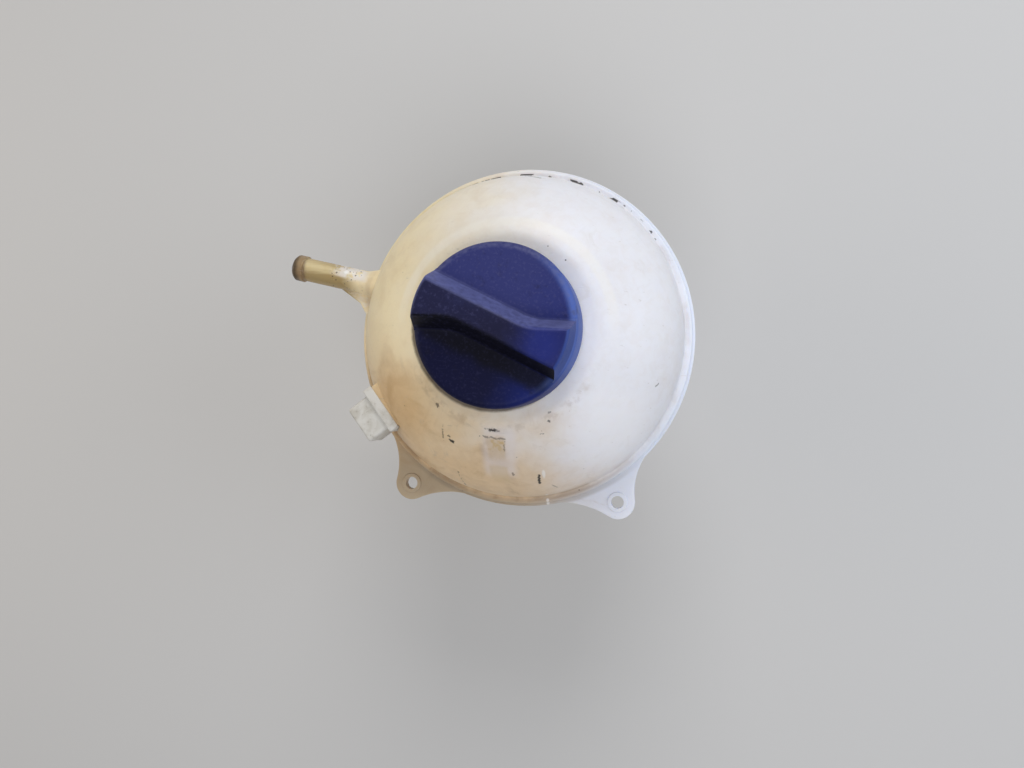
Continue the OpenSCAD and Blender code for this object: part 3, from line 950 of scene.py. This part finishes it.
# %% One material and the nodes it is made of
class Nodes:
    """One material under construction. Lengths given to it are in millimetres."""

    def __init__(self, name):
        self.material = bpy.data.materials.new(name)
        self.material.use_nodes = True
        self.tree = self.material.node_tree
        self.tree.nodes.clear()
        metres = self.node("ShaderNodeTexCoord", {}, {}, "Object")
        self.place = self.node(
            "ShaderNodeVectorMath", {"operation": "SCALE"}, {"Vector": metres, "Scale": 1 / MM}
        )
        self.x = self.node("ShaderNodeSeparateXYZ", {}, {0: self.place})
        self.y = self.x.beside(1)
        self.z = self.x.beside(2)

    def node(self, kind, settings, sockets, out=0):
        """Adds a node, sets it, fills or links its sockets and returns an output, if it has any."""
        made = self.tree.nodes.new(kind)
        for name, value in settings.items():
            setattr(made, name, value)
        for name, value in sockets.items():
            if isinstance(value, Level):
                self.tree.links.new(value.socket, made.inputs[name])
            else:
                made.inputs[name].default_value = value
        return Level(self, made.outputs[out]) if made.outputs else None

    def math(self, operation, first, second=0.0):
        """A Math node on two numbers."""
        return self.node("ShaderNodeMath", {"operation": operation}, {0: first, 1: second})

    def larger(self, first, second):
        """The larger of two numbers."""
        return self.math("MAXIMUM", first, second)

    def smaller(self, first, second):
        """The smaller of two numbers."""
        return self.math("MINIMUM", first, second)

    def step(self, value, start, end):
        """0 before start, 1 after end and a soft rise between them."""
        return self.node(
            "ShaderNodeMapRange",
            {"interpolation_type": "SMOOTHSTEP"},
            {"Value": value, "From Min": start, "From Max": end},
        )

    def vector(self, operation, first, second=(0, 0, 0), out="Vector", scale=None):
        """A Vector Math node on two places."""
        sockets = {0: first, 1: second}
        if scale is not None:
            sockets["Scale"] = scale
        return self.node("ShaderNodeVectorMath", {"operation": operation}, sockets, out)

    def mix(self, amount, first, second):
        """A colour between two colours."""
        settings = {"data_type": "RGBA"}
        return self.node("ShaderNodeMix", settings, {0: amount, 6: first, 7: second}, 2)


print("node tools", [name for name in vars(Nodes) if not name.startswith("_")])


# %% Patterns and places
class Finish(Nodes):
    """A finish under construction: its noises, dots, lines and sides, and its shader."""

    def stretched(self, turn, scale):
        """The surface's place after a turn and a stretch, which draws noise out into streaks."""
        sockets = {"Vector": self.place, "Rotation": turn, "Scale": scale}
        return self.node("ShaderNodeMapping", {"vector_type": "POINT"}, sockets)

    def noise(self, size, detail=3.0, rough=0.5, warp=0.0, at=None):
        """Cloudy noise from 0 to 1, whose clouds are about size across."""
        sockets = {
            "Vector": at or self.place,
            "Scale": 1 / size,
            "Detail": detail,
            "Roughness": rough,
            "Distortion": warp,
        }
        return self.node("ShaderNodeTexNoise", {}, sockets)

    def specks(self, spacing, radius, share, at=None):
        """Round dots on a share of the cells of an uneven grid."""
        sockets = {"Vector": at or self.place, "Scale": 1 / spacing}
        hue = self.node("ShaderNodeTexVoronoi", {}, sockets, "Color")
        chance = self.node("ShaderNodeSeparateColor", {}, {"Color": hue})
        dot = 1 - self.step(hue.beside("Distance") * spacing, radius * 0.5, radius)
        return dot * self.math("LESS_THAN", chance, share)

    def near(self, point, inner, outer):
        """1 within inner of a point, falling to 0 at outer."""
        return 1 - self.step(self.vector("DISTANCE", self.place, point, "Value"), inner, outer)

    def ragged(self, size, amount):
        """The surface's place, shaken by noise, which makes the edge of a mark uneven."""
        sockets = {"Vector": self.place, "Scale": 1 / size}
        shake = self.node("ShaderNodeTexNoise", {}, sockets, "Color")
        centred = self.vector("SUBTRACT", shake, (0.5, 0.5, 0.5))
        return self.vector("ADD", self.place, self.vector("SCALE", centred, scale=amount))

    def from_axis(self):
        """How far the surface lies from the ball's axis along Y, and in all."""
        out_y = self.y - axis_y / MM
        return out_y, self.math("SQRT", self.x * self.x + out_y * out_y)

    def along(self, start, end, inner, outer, at=None):
        """1 within inner of a line between two points, falling to 0 at outer."""
        run = Vector(end) - Vector(start)
        offset = self.vector("SUBTRACT", at or self.place, start)
        share = self.vector("DOT_PRODUCT", offset, run, "Value") / run.length_squared
        share = self.smaller(self.larger(share, 0), 1)
        foot = self.vector("SCALE", run, scale=share)
        return 1 - self.step(self.vector("DISTANCE", offset, foot, "Value"), inner, outer)

    def band(self, value, middle, inner, outer):
        """1 where a number is within inner of a middle, falling to 0 at outer."""
        return 1 - self.step(self.math("ABSOLUTE", value - middle), inner, outer)

    def facing(self, direction):
        """How far the surface faces a direction of the part, from -1 to 1."""
        normal = self.node("ShaderNodeTexCoord", {}, {}, "Normal")
        return self.vector("DOT_PRODUCT", normal, Vector(direction).normalized(), "Value")

    def surface(self, colour, rough, bump=None, bump_mm=0.1, **constants):
        """The Principled shader at the end, with a bump from a height in millimetres."""
        sockets = {"Base Color": colour, "Roughness": rough, **constants}
        if bump is not None:
            heights = {"Height": bump, "Distance": bump_mm * MM, "Strength": 1.0}
            sockets["Normal"] = self.node("ShaderNodeBump", {}, heights)
        shader = self.node("ShaderNodeBsdfPrincipled", {}, sockets)
        self.node("ShaderNodeOutputMaterial", {}, {"Surface": shader})
        return self.material


def dress(node, finish):
    """Gives a CAD node its finish."""
    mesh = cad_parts[node].data
    mesh.materials.clear()
    mesh.materials.append(finish)


print("finish tools", [name for name in vars(Finish) if not name.startswith("_")])

# %% [markdown]
# ## Polypropylene
#
# The ball is natural polypropylene: milky, a little see-through and waxy. Hot coolant has turned
# it yellow on the spigot's side and tan below, while the far side stays a cold white. Light goes
# into the wall and out again, so the shader has some subsurface. Stains, smudges and scratches
# are noise, and the marks that have a place of their own are laid over them, one group to a
# function.

# %% What the ball's marks share
class BallFinish(Finish):
    """The ball's plastic under construction, with the noises and sides that its marks share."""

    def __init__(self, name):
        super().__init__(name)
        self.clouds = self.noise(42, 3, 0.55, 0.4)
        self.patches = self.noise(17, 5, 0.62, 0.8)
        self.fine = self.noise(6, 5, 0.65)
        self.grain = self.noise(0.8, 2, 0.5)
        self.out_y, self.radius = self.from_axis()
        drift = (self.clouds - 0.5) * 50
        self.left = self.step(self.x * -1 - 0.15 * self.out_y + drift, -34, 60)
        self.low = self.step(self.out_y * -1 - 0.5 * self.x + drift, 18, 85)
        self.spigot = self.step(self.x * -1, 88, 100)
        amount = 0.10 + 0.10 * self.left + 0.42 * self.low * (0.4 + 0.6 * self.left)
        self.stain = self.step(self.patches * 0.7 + self.clouds * 0.3, 0.45, 0.70) * amount
        self.mottle = self.step(self.noise(5, 4, 0.6, 0.6), 0.42, 0.66)
        self.smudge = self.step(self.noise(12, 6, 0.68, 1.4), 0.56, 0.74) * (0.12 + 0.3 * self.low)
        drawn_out = self.stretched((0.3, 0.5, 0.9), (0.05, 1, 0.6))
        hairs = self.noise(0.9, 2, 0.4, 0.3, drawn_out)
        self.scratch = self.step(hairs, 0.69, 0.75) * self.step(self.fine, 0.5, 0.6)
        self.gate = self.along((19.5, -6, 0), (21.5, 16, 40), 0.5, 1.1)


tan = (0.46, 0.30, 0.15, 1)
brown = (0.27, 0.17, 0.10, 1)
print("a stain on the ball is", tan[:3], "and a fleck is", brown[:3])

# %% [markdown]
# The plastic's own colour comes first. It runs from white to cream across the ball and turns warm
# below, the rim lies in shade near the bench and stays cold on the other side, and age has made a
# few larger regions browner or cleaner than the rest.

# %% The ball's aged plastic
def ball_ground(f):
    """White to cream plastic, warm below, stained and mottled, with a shaded and a cold rim."""
    white = (0.80, 0.80, 0.85, 1)
    cream = (0.84, 0.72, 0.48, 1)
    warm = (0.72, 0.52, 0.31, 1)
    shade = (0.38, 0.30, 0.215, 1)
    cold_white = (0.74, 0.79, 0.92, 1)
    colour = f.mix(f.left, white, cream)
    on_ball = f.step(f.radius, 92, 86)
    colour = f.mix(f.low * (0.25 + 0.65 * on_ball), colour, warm)
    colour = f.mix(f.stain, colour, tan)
    colour = f.mix(f.mottle * (0.05 + 0.09 * f.low), colour, tan)
    below = f.step(f.radius, 86, 89) * f.step(f.out_y * -1, 30, 75)
    colour = f.mix(below * (0.3 + 0.5 * f.left), colour, shade)
    cold = f.step(f.radius, 84, 89) * f.step(f.x, 5, 55)
    return f.mix(cold * 0.8, colour, cold_white)


def aged_regions(f, colour):
    """The browner side by the socket, the cleaner side across from it, and stains at two roots."""
    amber = (0.56, 0.30, 0.07, 1)
    clean_white = (0.93, 0.915, 0.95, 1)
    rim_brown = (0.24, 0.20, 0.155, 1)
    colour = f.mix(f.near((-54, 45, 42), 5, 28) * 0.33, colour, amber)
    colour = f.mix(f.near((54, 36, 40), 8, 34) * 0.6, colour, clean_white)
    rim_shade = f.band(f.radius, 88.2, 1.6, 3.6) * f.step(f.out_y * -1, 55, 82)
    colour = f.mix(rim_shade * 0.4, colour, rim_brown)
    socket_corner = f.near((-62, 24, 20), 4, 34) * f.step(f.patches, 0.3, 0.65)
    spigot_root = f.near((-78, 92, 12), 2, 22) * f.step(f.patches, 0.35, 0.7)
    return f.mix(f.larger(socket_corner * 0.6, spigot_root * 0.45), colour, tan)


print("ground recipes", [recipe.__name__ for recipe in (ball_ground, aged_regions)])

# %% [markdown]
# The vent spigot has been hottest. It is amber and shiny, darker on its lower side with painted
# shade broken up by streaks and browner on its upper side, with a chalky patch and dark chips near
# its root, a painted highlight along its top and a baked brown end.

# %% The vent spigot's marks
def spigot_marks(f, colour):
    """Amber plastic, painted shade below, streaks, chalk, chips, a painted highlight, a brown end.
    """
    amber = (0.48, 0.38, 0.17, 1)
    shade_and_streak_amber = (0.30, 0.205, 0.075, 1)
    chalk_white = (0.80, 0.77, 0.77, 1)
    highlight_white = (0.95, 0.94, 0.93, 1)
    chip_brown = (0.10, 0.07, 0.06, 1)
    seam_brown = (0.06, 0.045, 0.03, 1)
    baked_brown = (0.27, 0.18, 0.10, 1)
    mouth_brown = (0.07, 0.05, 0.03, 1)
    streaks = f.noise(2.2, 3, 0.5, 0.2, f.stretched((0, 0, 0.22), (0.12, 1, 1)))
    # Painted shade on the side that faces down, broken up by streaks; darker streaks on top.
    under = f.step(f.facing((0.2, -0.97, 0.1)) + (streaks - 0.5) * 0.8, -0.15, 0.45)
    over = f.step(f.facing((0.2, 0.97, -0.1)) + (streaks - 0.5) * 0.6, 0.35, 0.8)
    colour = f.mix(f.spigot * (0.4 + 0.25 * f.patches), colour, amber)
    colour = f.mix(f.spigot * f.larger(under * 0.75, over * 0.5), colour, shade_and_streak_amber)
    chalk = f.band(f.x, -93, 5, 14) * f.step(f.noise(4.5, 4, 0.6), 0.40, 0.52)
    chalk = chalk * f.step(f.x * -1, 80, 86) * (1 - under) * f.step(f.z, 8, 12)
    colour = f.mix(chalk * 0.75, colour, chalk_white)
    # A painted highlight along the top of the spigot, near its root.
    painted_highlight = f.along((-96, 111.8, 20), (-84, 109.6, 20), 0.7, 2.0, f.ragged(3, 1.0)) * f.spigot
    colour = f.mix(painted_highlight * 0.85, colour, highlight_white)
    chips = f.band(f.x, -97, 7, 12) * f.specks(1.9, 0.55, 0.6, f.ragged(1.2, 1.2))
    colour = f.mix(chips * f.step(f.z, 12, 15) * 0.85, colour, chip_brown)
    seam_dirt = f.band(f.x + (f.fine - 0.5) * 2, -121.0, 0.3, 1.0) * f.step(f.fine, 0.35, 0.6)
    colour = f.mix(seam_dirt * 0.7, colour, seam_brown)
    spigot_end = f.step(f.x * -1 + (f.fine - 0.5) * 3, 119, 122)
    colour = f.mix(spigot_end * 0.85, colour, baked_brown)
    mouth = f.step(f.x * -1 + (f.fine - 0.5) * 2, 123.2, 126.2)
    return f.mix(mouth * 0.9, colour, mouth_brown)


print("spigot recipe", spigot_marks.__name__)

# %% [markdown]
# Coolant has run down from the cap and dried. It left a spill and a run on the dome and dirt at the
# foot of the dome. Hands wiped smudges into it and tools scratched it. A painted shadow lies dark
# round the cap's lower left edge, on the shoulder.

# %% Spills, dirt and smudges
def spill_marks(f, colour):
    """Dried coolant, a painted shadow by the cap, dirt at the dome's foot, smudges and scratches.
    """
    coolant = (0.42, 0.30, 0.19, 1)
    cap_shadow_brown = (0.05, 0.033, 0.022, 1)
    smudge_grey = (0.46, 0.39, 0.31, 1)
    scratch_grey = (0.35, 0.30, 0.25, 1)
    spill = f.near((-2, 25, 48), 5, 9) * f.step(f.fine, 0.3, 0.6)
    run = f.along((2, 19, 44), (6, -2, 22), 1.5, 5) * f.step(f.patches, 0.35, 0.6)
    colour = f.mix(f.larger(spill * 0.45, run * 0.3), colour, coolant)
    # A painted shadow on the shoulder round the cap, heaviest towards the lower left.
    off_x, off_y = f.x + 4.5, f.out_y - 1.5
    off_r = f.math("SQRT", off_x * off_x + off_y * off_y)
    painted_cap_shadow = 1 - f.step(off_r + (f.fine - 0.5) * 1.2, 40.6, 42.2)
    painted_cap_shadow = painted_cap_shadow * f.step(f.out_y * -1 - 0.35 * f.x, -8, 14) * f.band(f.z, 53, 4, 6)
    colour = f.mix(painted_cap_shadow * (0.7 + 0.25 * f.patches), colour, cap_shadow_brown)
    ring_dirt = f.band(f.radius, 47.5, 1.2, 3.0) * f.step(f.out_y * -1, 8, 34)
    ring_dirt = ring_dirt * f.step(f.fine, 0.45, 0.62)
    foot_dirt = f.band(f.radius, 85.6, 0.9, 2.4) * f.step(f.patches, 0.38, 0.62)
    foot_dirt = foot_dirt * (0.25 + 0.75 * f.low)
    colour = f.mix(f.larger(ring_dirt * 0.22, foot_dirt * 0.5), colour, brown)
    colour = f.mix(f.smudge, colour, smudge_grey)
    return f.mix(f.scratch * 0.35, colour, scratch_grey)


print("spill recipe", spill_marks.__name__)

# %% [markdown]
# A sticker sat on the front of the dome. What is left is a wiped pale field with two patches of
# brown glue. Round the neck the shoulder has a pale ring, and the mould's gate left a white line.

# %% The worn sticker and the pale lines
def sticker_marks(f, colour):
    """The wiped field and the glue of an old sticker."""
    wiped_white = (0.74, 0.70, 0.74, 1)
    glue = (0.58, 0.42, 0.21, 1)
    thin_glue = (0.60, 0.45, 0.25, 1)
    worn_x = f.band(f.x + 0.06 * f.y + (f.fine - 0.5) * 2.5, 0.6, 3.4, 5.4)
    worn_y = f.band(f.y + (f.fine - 0.5) * 3, 26, 3.0, 7.4)
    lower_y = f.band(f.y + (f.fine - 0.5) * 2, 12.5, 3.6, 5.4)
    wiped = f.band(f.x + (f.clouds - 0.5) * 6, 0.6, 5.5, 10.5) * f.band(f.y, 24, 9, 15)
    colour = f.mix(wiped * f.step(f.z, 20, 30) * 0.45, colour, wiped_white)
    patch = worn_x * worn_y * f.step(f.z, 30, 34) * (0.4 + 0.5 * f.mottle)
    colour = f.mix(patch, colour, glue)
    return f.mix(worn_x * lower_y * f.step(f.z, 26, 30) * 0.4, colour, thin_glue)


def pale_lines(f, colour):
    """The pale ring on the shoulder, brown flecks below it and the gate's white line."""
    ring_white = (0.90, 0.87, 0.80, 1)
    gate_white = (0.92, 0.92, 0.93, 1)
    ring = f.band(f.radius, 52, 1.2, 3.5) * f.step(f.out_y, -8, 25)
    colour = f.mix(ring * 0.35, colour, ring_white)
    some = f.step(f.patches * 0.6 + f.clouds * 0.4, 0.50, 0.60)
    flecks = f.specks(2.6, 0.42, 0.22, f.ragged(1.5, 1.6)) * some
    colour = f.mix(flecks * (0.15 + 0.5 * f.low), colour, brown)
    return f.mix(f.gate * 0.55, colour, gate_white)


print("sticker recipes", [recipe.__name__ for recipe in (sticker_marks, pale_lines)])

# %% [markdown]
# The dark marks come last, because grease lies over everything else. The scuffs are lines between
# two points with shaken edges, the nicks follow the upper rim, and the dots are scattered
# everywhere.

# %% Scuffs, nicks and dots
# Each scuff runs between two points and has a width and a darkness.
SCUFFS = [
    ((19.0, 13.4, 37), (19.0, 9.2, 32), 0.85, 1.0),
    ((-3.2, 34.4, 54), (-1.2, 34.6, 54), 1.15, 1.0),
    ((-5.5, 34.9, 54), (1.0, 34.2, 54), 0.6, 0.6),
    ((-24.2, 27.9, 47), (-23.2, 27.0, 47), 1.0, 1.0),
    ((-25.0, 30.0, 48), (-24.6, 29.4, 48), 0.6, 0.7),
    ((-27.7, 36.5, 50), (-28.4, 27.0, 46), 0.5, 0.55),
    ((-22.8, 11.5, 33), (-21.4, 3.0, 20), 0.55, 0.6),
    ((-30.5, 45.4, 54), (-30.0, 43.9, 53), 0.7, 0.7),
    ((-7.0, 31.0, 51.6), (3.4, 30.6, 51.6), 0.5, 0.55),
    ((3.2, 30.2, 51), (3.0, 25.0, 48), 0.5, 0.45),
    ((21.0, 34.5, 51.5), (22.2, 34.4, 51.5), 0.6, 0.7),
    ((24.2, 40.9, 53.5), (25.2, 40.6, 53.5), 0.6, 0.8),
    ((24.4, 44.6, 55), (25.8, 44.9, 55), 0.55, 0.55),
    ((6.5, 14.0, 39.5), (6.6, 12.6, 38.5), 0.6, 0.6),
    ((24.4, 9.3, 29), (27.3, 6.5, 24), 0.5, 0.5),
    ((31, 45, 55), (24, 42.5, 55.5), 0.7, 0.3),
    ((72.9, 62.8, 31), (72.7, 60.8, 33), 0.7, 0.7),
    ((-1, 165, 22), (7, 163, 25), 0.8, 0.7),
]


def dark_marks(f, colour):
    """Black scuffs, nicks along the upper rim and scattered dots."""
    grease = (0.022, 0.018, 0.016, 1)
    dark = f.band(f.radius, 86.0, 0.35, 0.9) * f.step(f.noise(5, 2, 0.5), 0.54, 0.58)
    dark = dark * f.step(f.out_y, 38, 60)
    shaken = f.ragged(1.6, 2.2)
    for start, end, width, depth in SCUFFS:
        dark = f.larger(dark, f.along(start, end, width * 0.5, width * 1.2, shaken) * depth)
    dots = f.larger(f.specks(9, 0.55, 0.13), f.specks(5, 0.32, 0.10))
    return f.mix(f.larger(dark, dots) * 0.96, colour, grease)


print("scuffs", len(SCUFFS))

# %% [markdown]
# Now the layers are put on in order. Smudges and stains are duller than clean plastic, the spigot
# is glossier, and the same noises that colour the ball give it its slight waves. The shells then
# get the finish and stand for their CAD nodes.

# %% The ball's finish
def ball_finish():
    """Milky polypropylene with all its marks."""
    f = BallFinish("milky_polypropylene")
    colour = ball_ground(f)
    for layer in (aged_regions, spigot_marks, spill_marks, sticker_marks, pale_lines, dark_marks):
        colour = layer(f, colour)
    rough = 0.34 + 0.16 * f.fine + 0.15 * f.smudge + 0.1 * f.stain - 0.18 * f.spigot
    height = f.clouds * 2.0 + f.fine * 0.22 + f.grain * 0.03 - f.scratch * 0.1 + f.gate * 0.25
    milky = {"Subsurface Weight": 0.3, "Subsurface Radius": (1.0, 0.8, 0.6),
             "Subsurface Scale": 5 * MM, "IOR": 1.49}
    return f.surface(colour, rough, height, 0.22, **milky)


ball_plastic = ball_finish()
finish_piece(front_shell, "tank", "upper_shell", ball_plastic, "upper_shell")
finish_piece(back_shell, "tank", "lower_shell", ball_plastic, "lower_shell", "hose_outlet")
print("ball finish nodes", len(ball_plastic.node_tree.nodes))

# %% [markdown]
# ## The cap's blue plastic
#
# The cap is a deep violet blue, paler towards the top of the picture with painted light and darker
# towards the bottom with painted shade. The flank of the grip that faces up in the picture has a
# dusting and painted light on it, the flank that faces down and the plate under the grip are nearly
# black with painted shade, the crest is scuffed, the grip's end face towards the right has painted
# light, and the edge towards the right has a painted reflection in a lighter blue. The moulded top
# is finely grained.

# %% The cap's plate and its grip
class CapFinish(Finish):
    """The cap's plastic under construction, with the noises and sides that its marks share."""

    def __init__(self, name):
        super().__init__(name)
        self.clouds = self.noise(16, 4, 0.6, 0.6)
        self.fine = self.noise(2.5, 4, 0.6)
        self.grain = self.noise(0.5, 2, 0.5)
        self.out_y, self.radius = self.from_axis()
        self.upper = self.step(self.out_y + (self.clouds - 0.5) * 12, -12, 12)
        self.on_grip = self.step(self.z, cap_top_z + 0.1, cap_top_z + 1.2)
        self.crest = self.step(self.z, cap_top_z + 9.8, cap_top_z + 11.2)


black = (0.0015, 0.0015, 0.006, 1)
pale_blue = (0.11, 0.125, 0.32, 1)


def cap_ground(f):
    """Blue plastic, paler with painted light towards the top, darker with painted shade below."""
    deep = (0.0025, 0.0035, 0.030, 1)
    painted_light_blue = (0.030, 0.036, 0.150, 1)
    blue = (0.006, 0.017, 0.165, 1)
    # Painted light pales the plate towards the top of the picture, painted shade darkens it below.
    colour = f.mix(f.upper, deep, painted_light_blue)
    right = f.step(f.x - 0.3 * f.out_y + (f.clouds - 0.5) * 14, 4, 34)
    return f.mix(right * (0.75 - 0.45 * f.upper), colour, blue)


def grip_marks(f, colour):
    """Scuffed grip: a dusting and painted light above, painted shade below, a brighter right end.
    """
    scuffed = (0.011, 0.011, 0.035, 1)
    crest_blue = (0.016, 0.026, 0.20, 1)
    lit_end_blue = (0.045, 0.085, 0.33, 1)
    worn_blue = (0.06, 0.08, 0.30, 1)
    facing_up = f.step(f.facing((-0.36, 0.86, 0.15)), 0.30, 0.75)
    facing_down = f.step(f.facing((0.36, -0.86, 0.15)), 0.25, 0.75)
    colour = f.mix(f.on_grip * 0.85, colour, scuffed)
    # A dusting and painted light on the flank that faces up, painted shade on the flank that faces
    # down.
    colour = f.mix(f.on_grip * facing_up * (0.6 + 0.4 * f.step(f.fine, 0.3, 0.7)), colour, pale_blue)
    colour = f.mix(f.on_grip * facing_down * 0.95, colour, black)
    # Painted shadow of the grip on the plate below its lower flank.
    across = f.x * 0.3875 + f.out_y * 0.9219
    under = f.band(across + (f.clouds - 0.5) * 5, -12.8, 2.5, 8.5) * (1 - f.on_grip)
    under = under * f.step(f.z, cap_top_z - 3.0, cap_top_z - 0.5)
    colour = f.mix(under * 0.85, colour, black)
    right_end = f.crest * f.step(f.x + (f.clouds - 0.5) * 14, 4, 26)
    right_end = right_end * (0.45 + 0.3 * f.near((23, 74, 89), 3, 14))
    colour = f.mix(right_end, colour, crest_blue)
    # Painted light on the grip's end face that faces right.
    lit_end_face = f.on_grip * f.step(f.facing((1, -0.1, 0.2)), 0.55, 0.9)
    colour = f.mix(lit_end_face * 0.8, colour, lit_end_blue)
    worn = f.crest * f.step(f.clouds * 0.6 + f.fine * 0.4, 0.45, 0.75) * 0.12
    return f.mix(worn, colour, worn_blue)


print("cap recipes", [recipe.__name__ for recipe in (cap_ground, grip_marks)])

# %% The cap's edge and its dirt
def edge_marks(f, colour):
    """A painted reflection on the right edge and a paler band along the upper edge."""
    reflection_blue = (0.080, 0.145, 0.48, 1)
    upper_edge_blue = (0.15, 0.16, 0.30, 1)
    # A painted reflection on the cap's rounded right edge.
    rim = f.step(f.radius, cap_radius - 5.0, cap_radius - 1.5) * (1 - f.on_grip)
    lit = f.step(f.x - 0.15 * f.out_y + (f.clouds - 0.5) * 8, 8, 34) * f.step(f.out_y, -33, -12)
    colour = f.mix(rim * lit * 0.85, colour, reflection_blue)
    # Paler along the cap's upper edge.
    upper_edge = f.band(f.radius, cap_radius - 1.6, 0.6, 2.2) * f.upper * f.step(f.fine, 0.3, 0.7)
    return f.mix(upper_edge * 0.4, colour, upper_edge_blue)


def cap_finish():
    """Blue moulded plastic with grime, scuffs, fine powder and painted light and shade."""
    f = CapFinish("blue_cap_plastic")
    oily = (0.008, 0.007, 0.016, 1)
    powder_blue = (0.10, 0.10, 0.24, 1)
    colour = edge_marks(f, grip_marks(f, cap_ground(f)))
    grime = f.step(f.clouds * 0.5 + f.fine * 0.5, 0.54, 0.7) * 0.35
    colour = f.mix(grime, colour, oily)
    powder = f.step(f.noise(1.3, 3, 0.6), 0.50, 0.72) * (0.08 + 0.14 * f.upper)
    colour = f.mix(powder, colour, powder_blue)
    scratch_place = f.stretched((0, 0, 0.4), (0.06, 1, 1))
    scratch = f.step(f.noise(0.8, 2, 0.4, 0.2, scratch_place), 0.70, 0.76)
    colour = f.mix(scratch * 0.06, colour, pale_blue)
    rough = 0.44 + 0.16 * f.fine
    height = f.clouds + f.fine * 0.3 + f.grain * 0.12 - scratch * 0.2
    return f.surface(colour, rough, height, 0.07, **{"IOR": 1.45, "Specular IOR Level": 0.18})


finish_piece(cap, "cap", "cap", cap_finish(), "cap_shell")

# %% [markdown]
# ## Small parts
#
# The socket's harder plastic, steel, brass, rubber and the black valve plastic each have their
# own short recipe: two tones that mottle, a fine grain and the gloss that such a surface has.

# %% Finishes of the small parts
def socket_finish():
    """Greyish white plastic with handling dirt and dark specks."""
    f = Finish("socket_polyamide")
    clean, worn = (0.66, 0.65, 0.62, 1), (0.52, 0.50, 0.45, 1)
    hand_dirt = (0.24, 0.19, 0.14, 1)
    oil_spot = (0.03, 0.025, 0.02, 1)
    clouds = f.noise(9, 4, 0.6, 0.6)
    fine = f.noise(1.6, 4, 0.6)
    colour = f.mix(f.step(clouds, 0.35, 0.68), clean, worn)
    grime = f.step(clouds * 0.4 + fine * 0.6, 0.53, 0.68)
    colour = f.mix(grime * 0.4, colour, hand_dirt)
    dots = f.larger(f.specks(3.2, 0.35, 0.22), f.specks(2.1, 0.22, 0.16))
    colour = f.mix(dots * 0.9, colour, oil_spot)
    return f.surface(colour, 0.4 + 0.18 * fine, clouds + fine * 0.4, 0.06, **{"IOR": 1.53})


def plain_finish(name, light, dark, size, rough, bump_mm, metal=0.0):
    """A finish that mottles between two colours."""
    f = Finish(name)
    clouds = f.noise(size, 4, 0.6, 0.4)
    fine = f.noise(size / 8, 3, 0.6)
    colour = f.mix(f.step(clouds, 0.35, 0.65), light, dark)
    return f.surface(colour, rough + 0.15 * fine, clouds + 0.3 * fine, bump_mm, Metallic=metal)


print("small finishes", [recipe.__name__ for recipe in (socket_finish, plain_finish)])

# %% Dress the small parts
finish_piece(socket, "tank", "socket_plastic", socket_finish(), "sensor_socket")
aged_rubber = plain_finish(
    "aged_seal_rubber", light=(0.13, 0.10, 0.07, 1), dark=(0.07, 0.055, 0.04, 1),
    size=4, rough=0.6, bump_mm=0.04)
rubber = plain_finish(
    "seal_rubber", light=(0.012, 0.012, 0.013, 1), dark=(0.03, 0.028, 0.026, 1),
    size=5, rough=0.55, bump_mm=0.04)
steel = plain_finish(
    "zinc_steel", light=(0.55, 0.55, 0.56, 1), dark=(0.42, 0.41, 0.40, 1),
    size=3, rough=0.25, bump_mm=0.02, metal=1.0)
brass = plain_finish(
    "brass", light=(0.62, 0.45, 0.2, 1), dark=(0.45, 0.32, 0.14, 1),
    size=3, rough=0.28, bump_mm=0.02, metal=1.0)
valve_plastic = plain_finish(
    "valve_polyamide", light=(0.02, 0.02, 0.022, 1), dark=(0.035, 0.033, 0.03, 1),
    size=6, rough=0.4, bump_mm=0.05)
finish_of = {
    "socket_seal": aged_rubber,
    "contact_pin_left": steel,
    "contact_pin_right": steel,
    "plug_o_ring": rubber,
    "relief_seal": rubber,
    "vacuum_seal": rubber,
    "relief_plate": steel,
    "vacuum_retainer": steel,
    "vacuum_valve": brass,
    "valve_body": valve_plastic,
    "spring_cover": valve_plastic,
}
for node, finish in finish_of.items():
    dress(node, finish)
print("small parts dressed", len(finish_of))

# %% [markdown]
# ## The springs
#
# A spring is soft along its valve's travel: one end stays on its seat and the other follows the
# valve. Here each coil gets the steel finish, stands for its CAD spring, goes with the body that it
# rides on and gets a mesh of its own.

# %% Finish the springs
finish_piece(relief_spring, "plug", "spring_steel", steel, "relief_spring")
finish_piece(vacuum_spring, "pressure_valve", "spring_steel", steel, "vacuum_spring")
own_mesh(relief_spring)
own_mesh(vacuum_spring)

# %% [markdown]
# ## The sizes at the end
#
# Both boxes, the CAD model's and the visual model's, are gathered at the end, and the visual box
# is printed. The visual model may not outgrow the CAD model.

# %% Gather the sizes
bpy.context.view_layer.update()
sizes = {
    "cad_box": [list(corner) for corner in cad_box],
    "visual_box": [list(corner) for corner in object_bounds()],
}
visual_box_mm = [[round(value / MM, 1) for value in corner] for corner in sizes["visual_box"]]
print("visual box in mm", visual_box_mm)
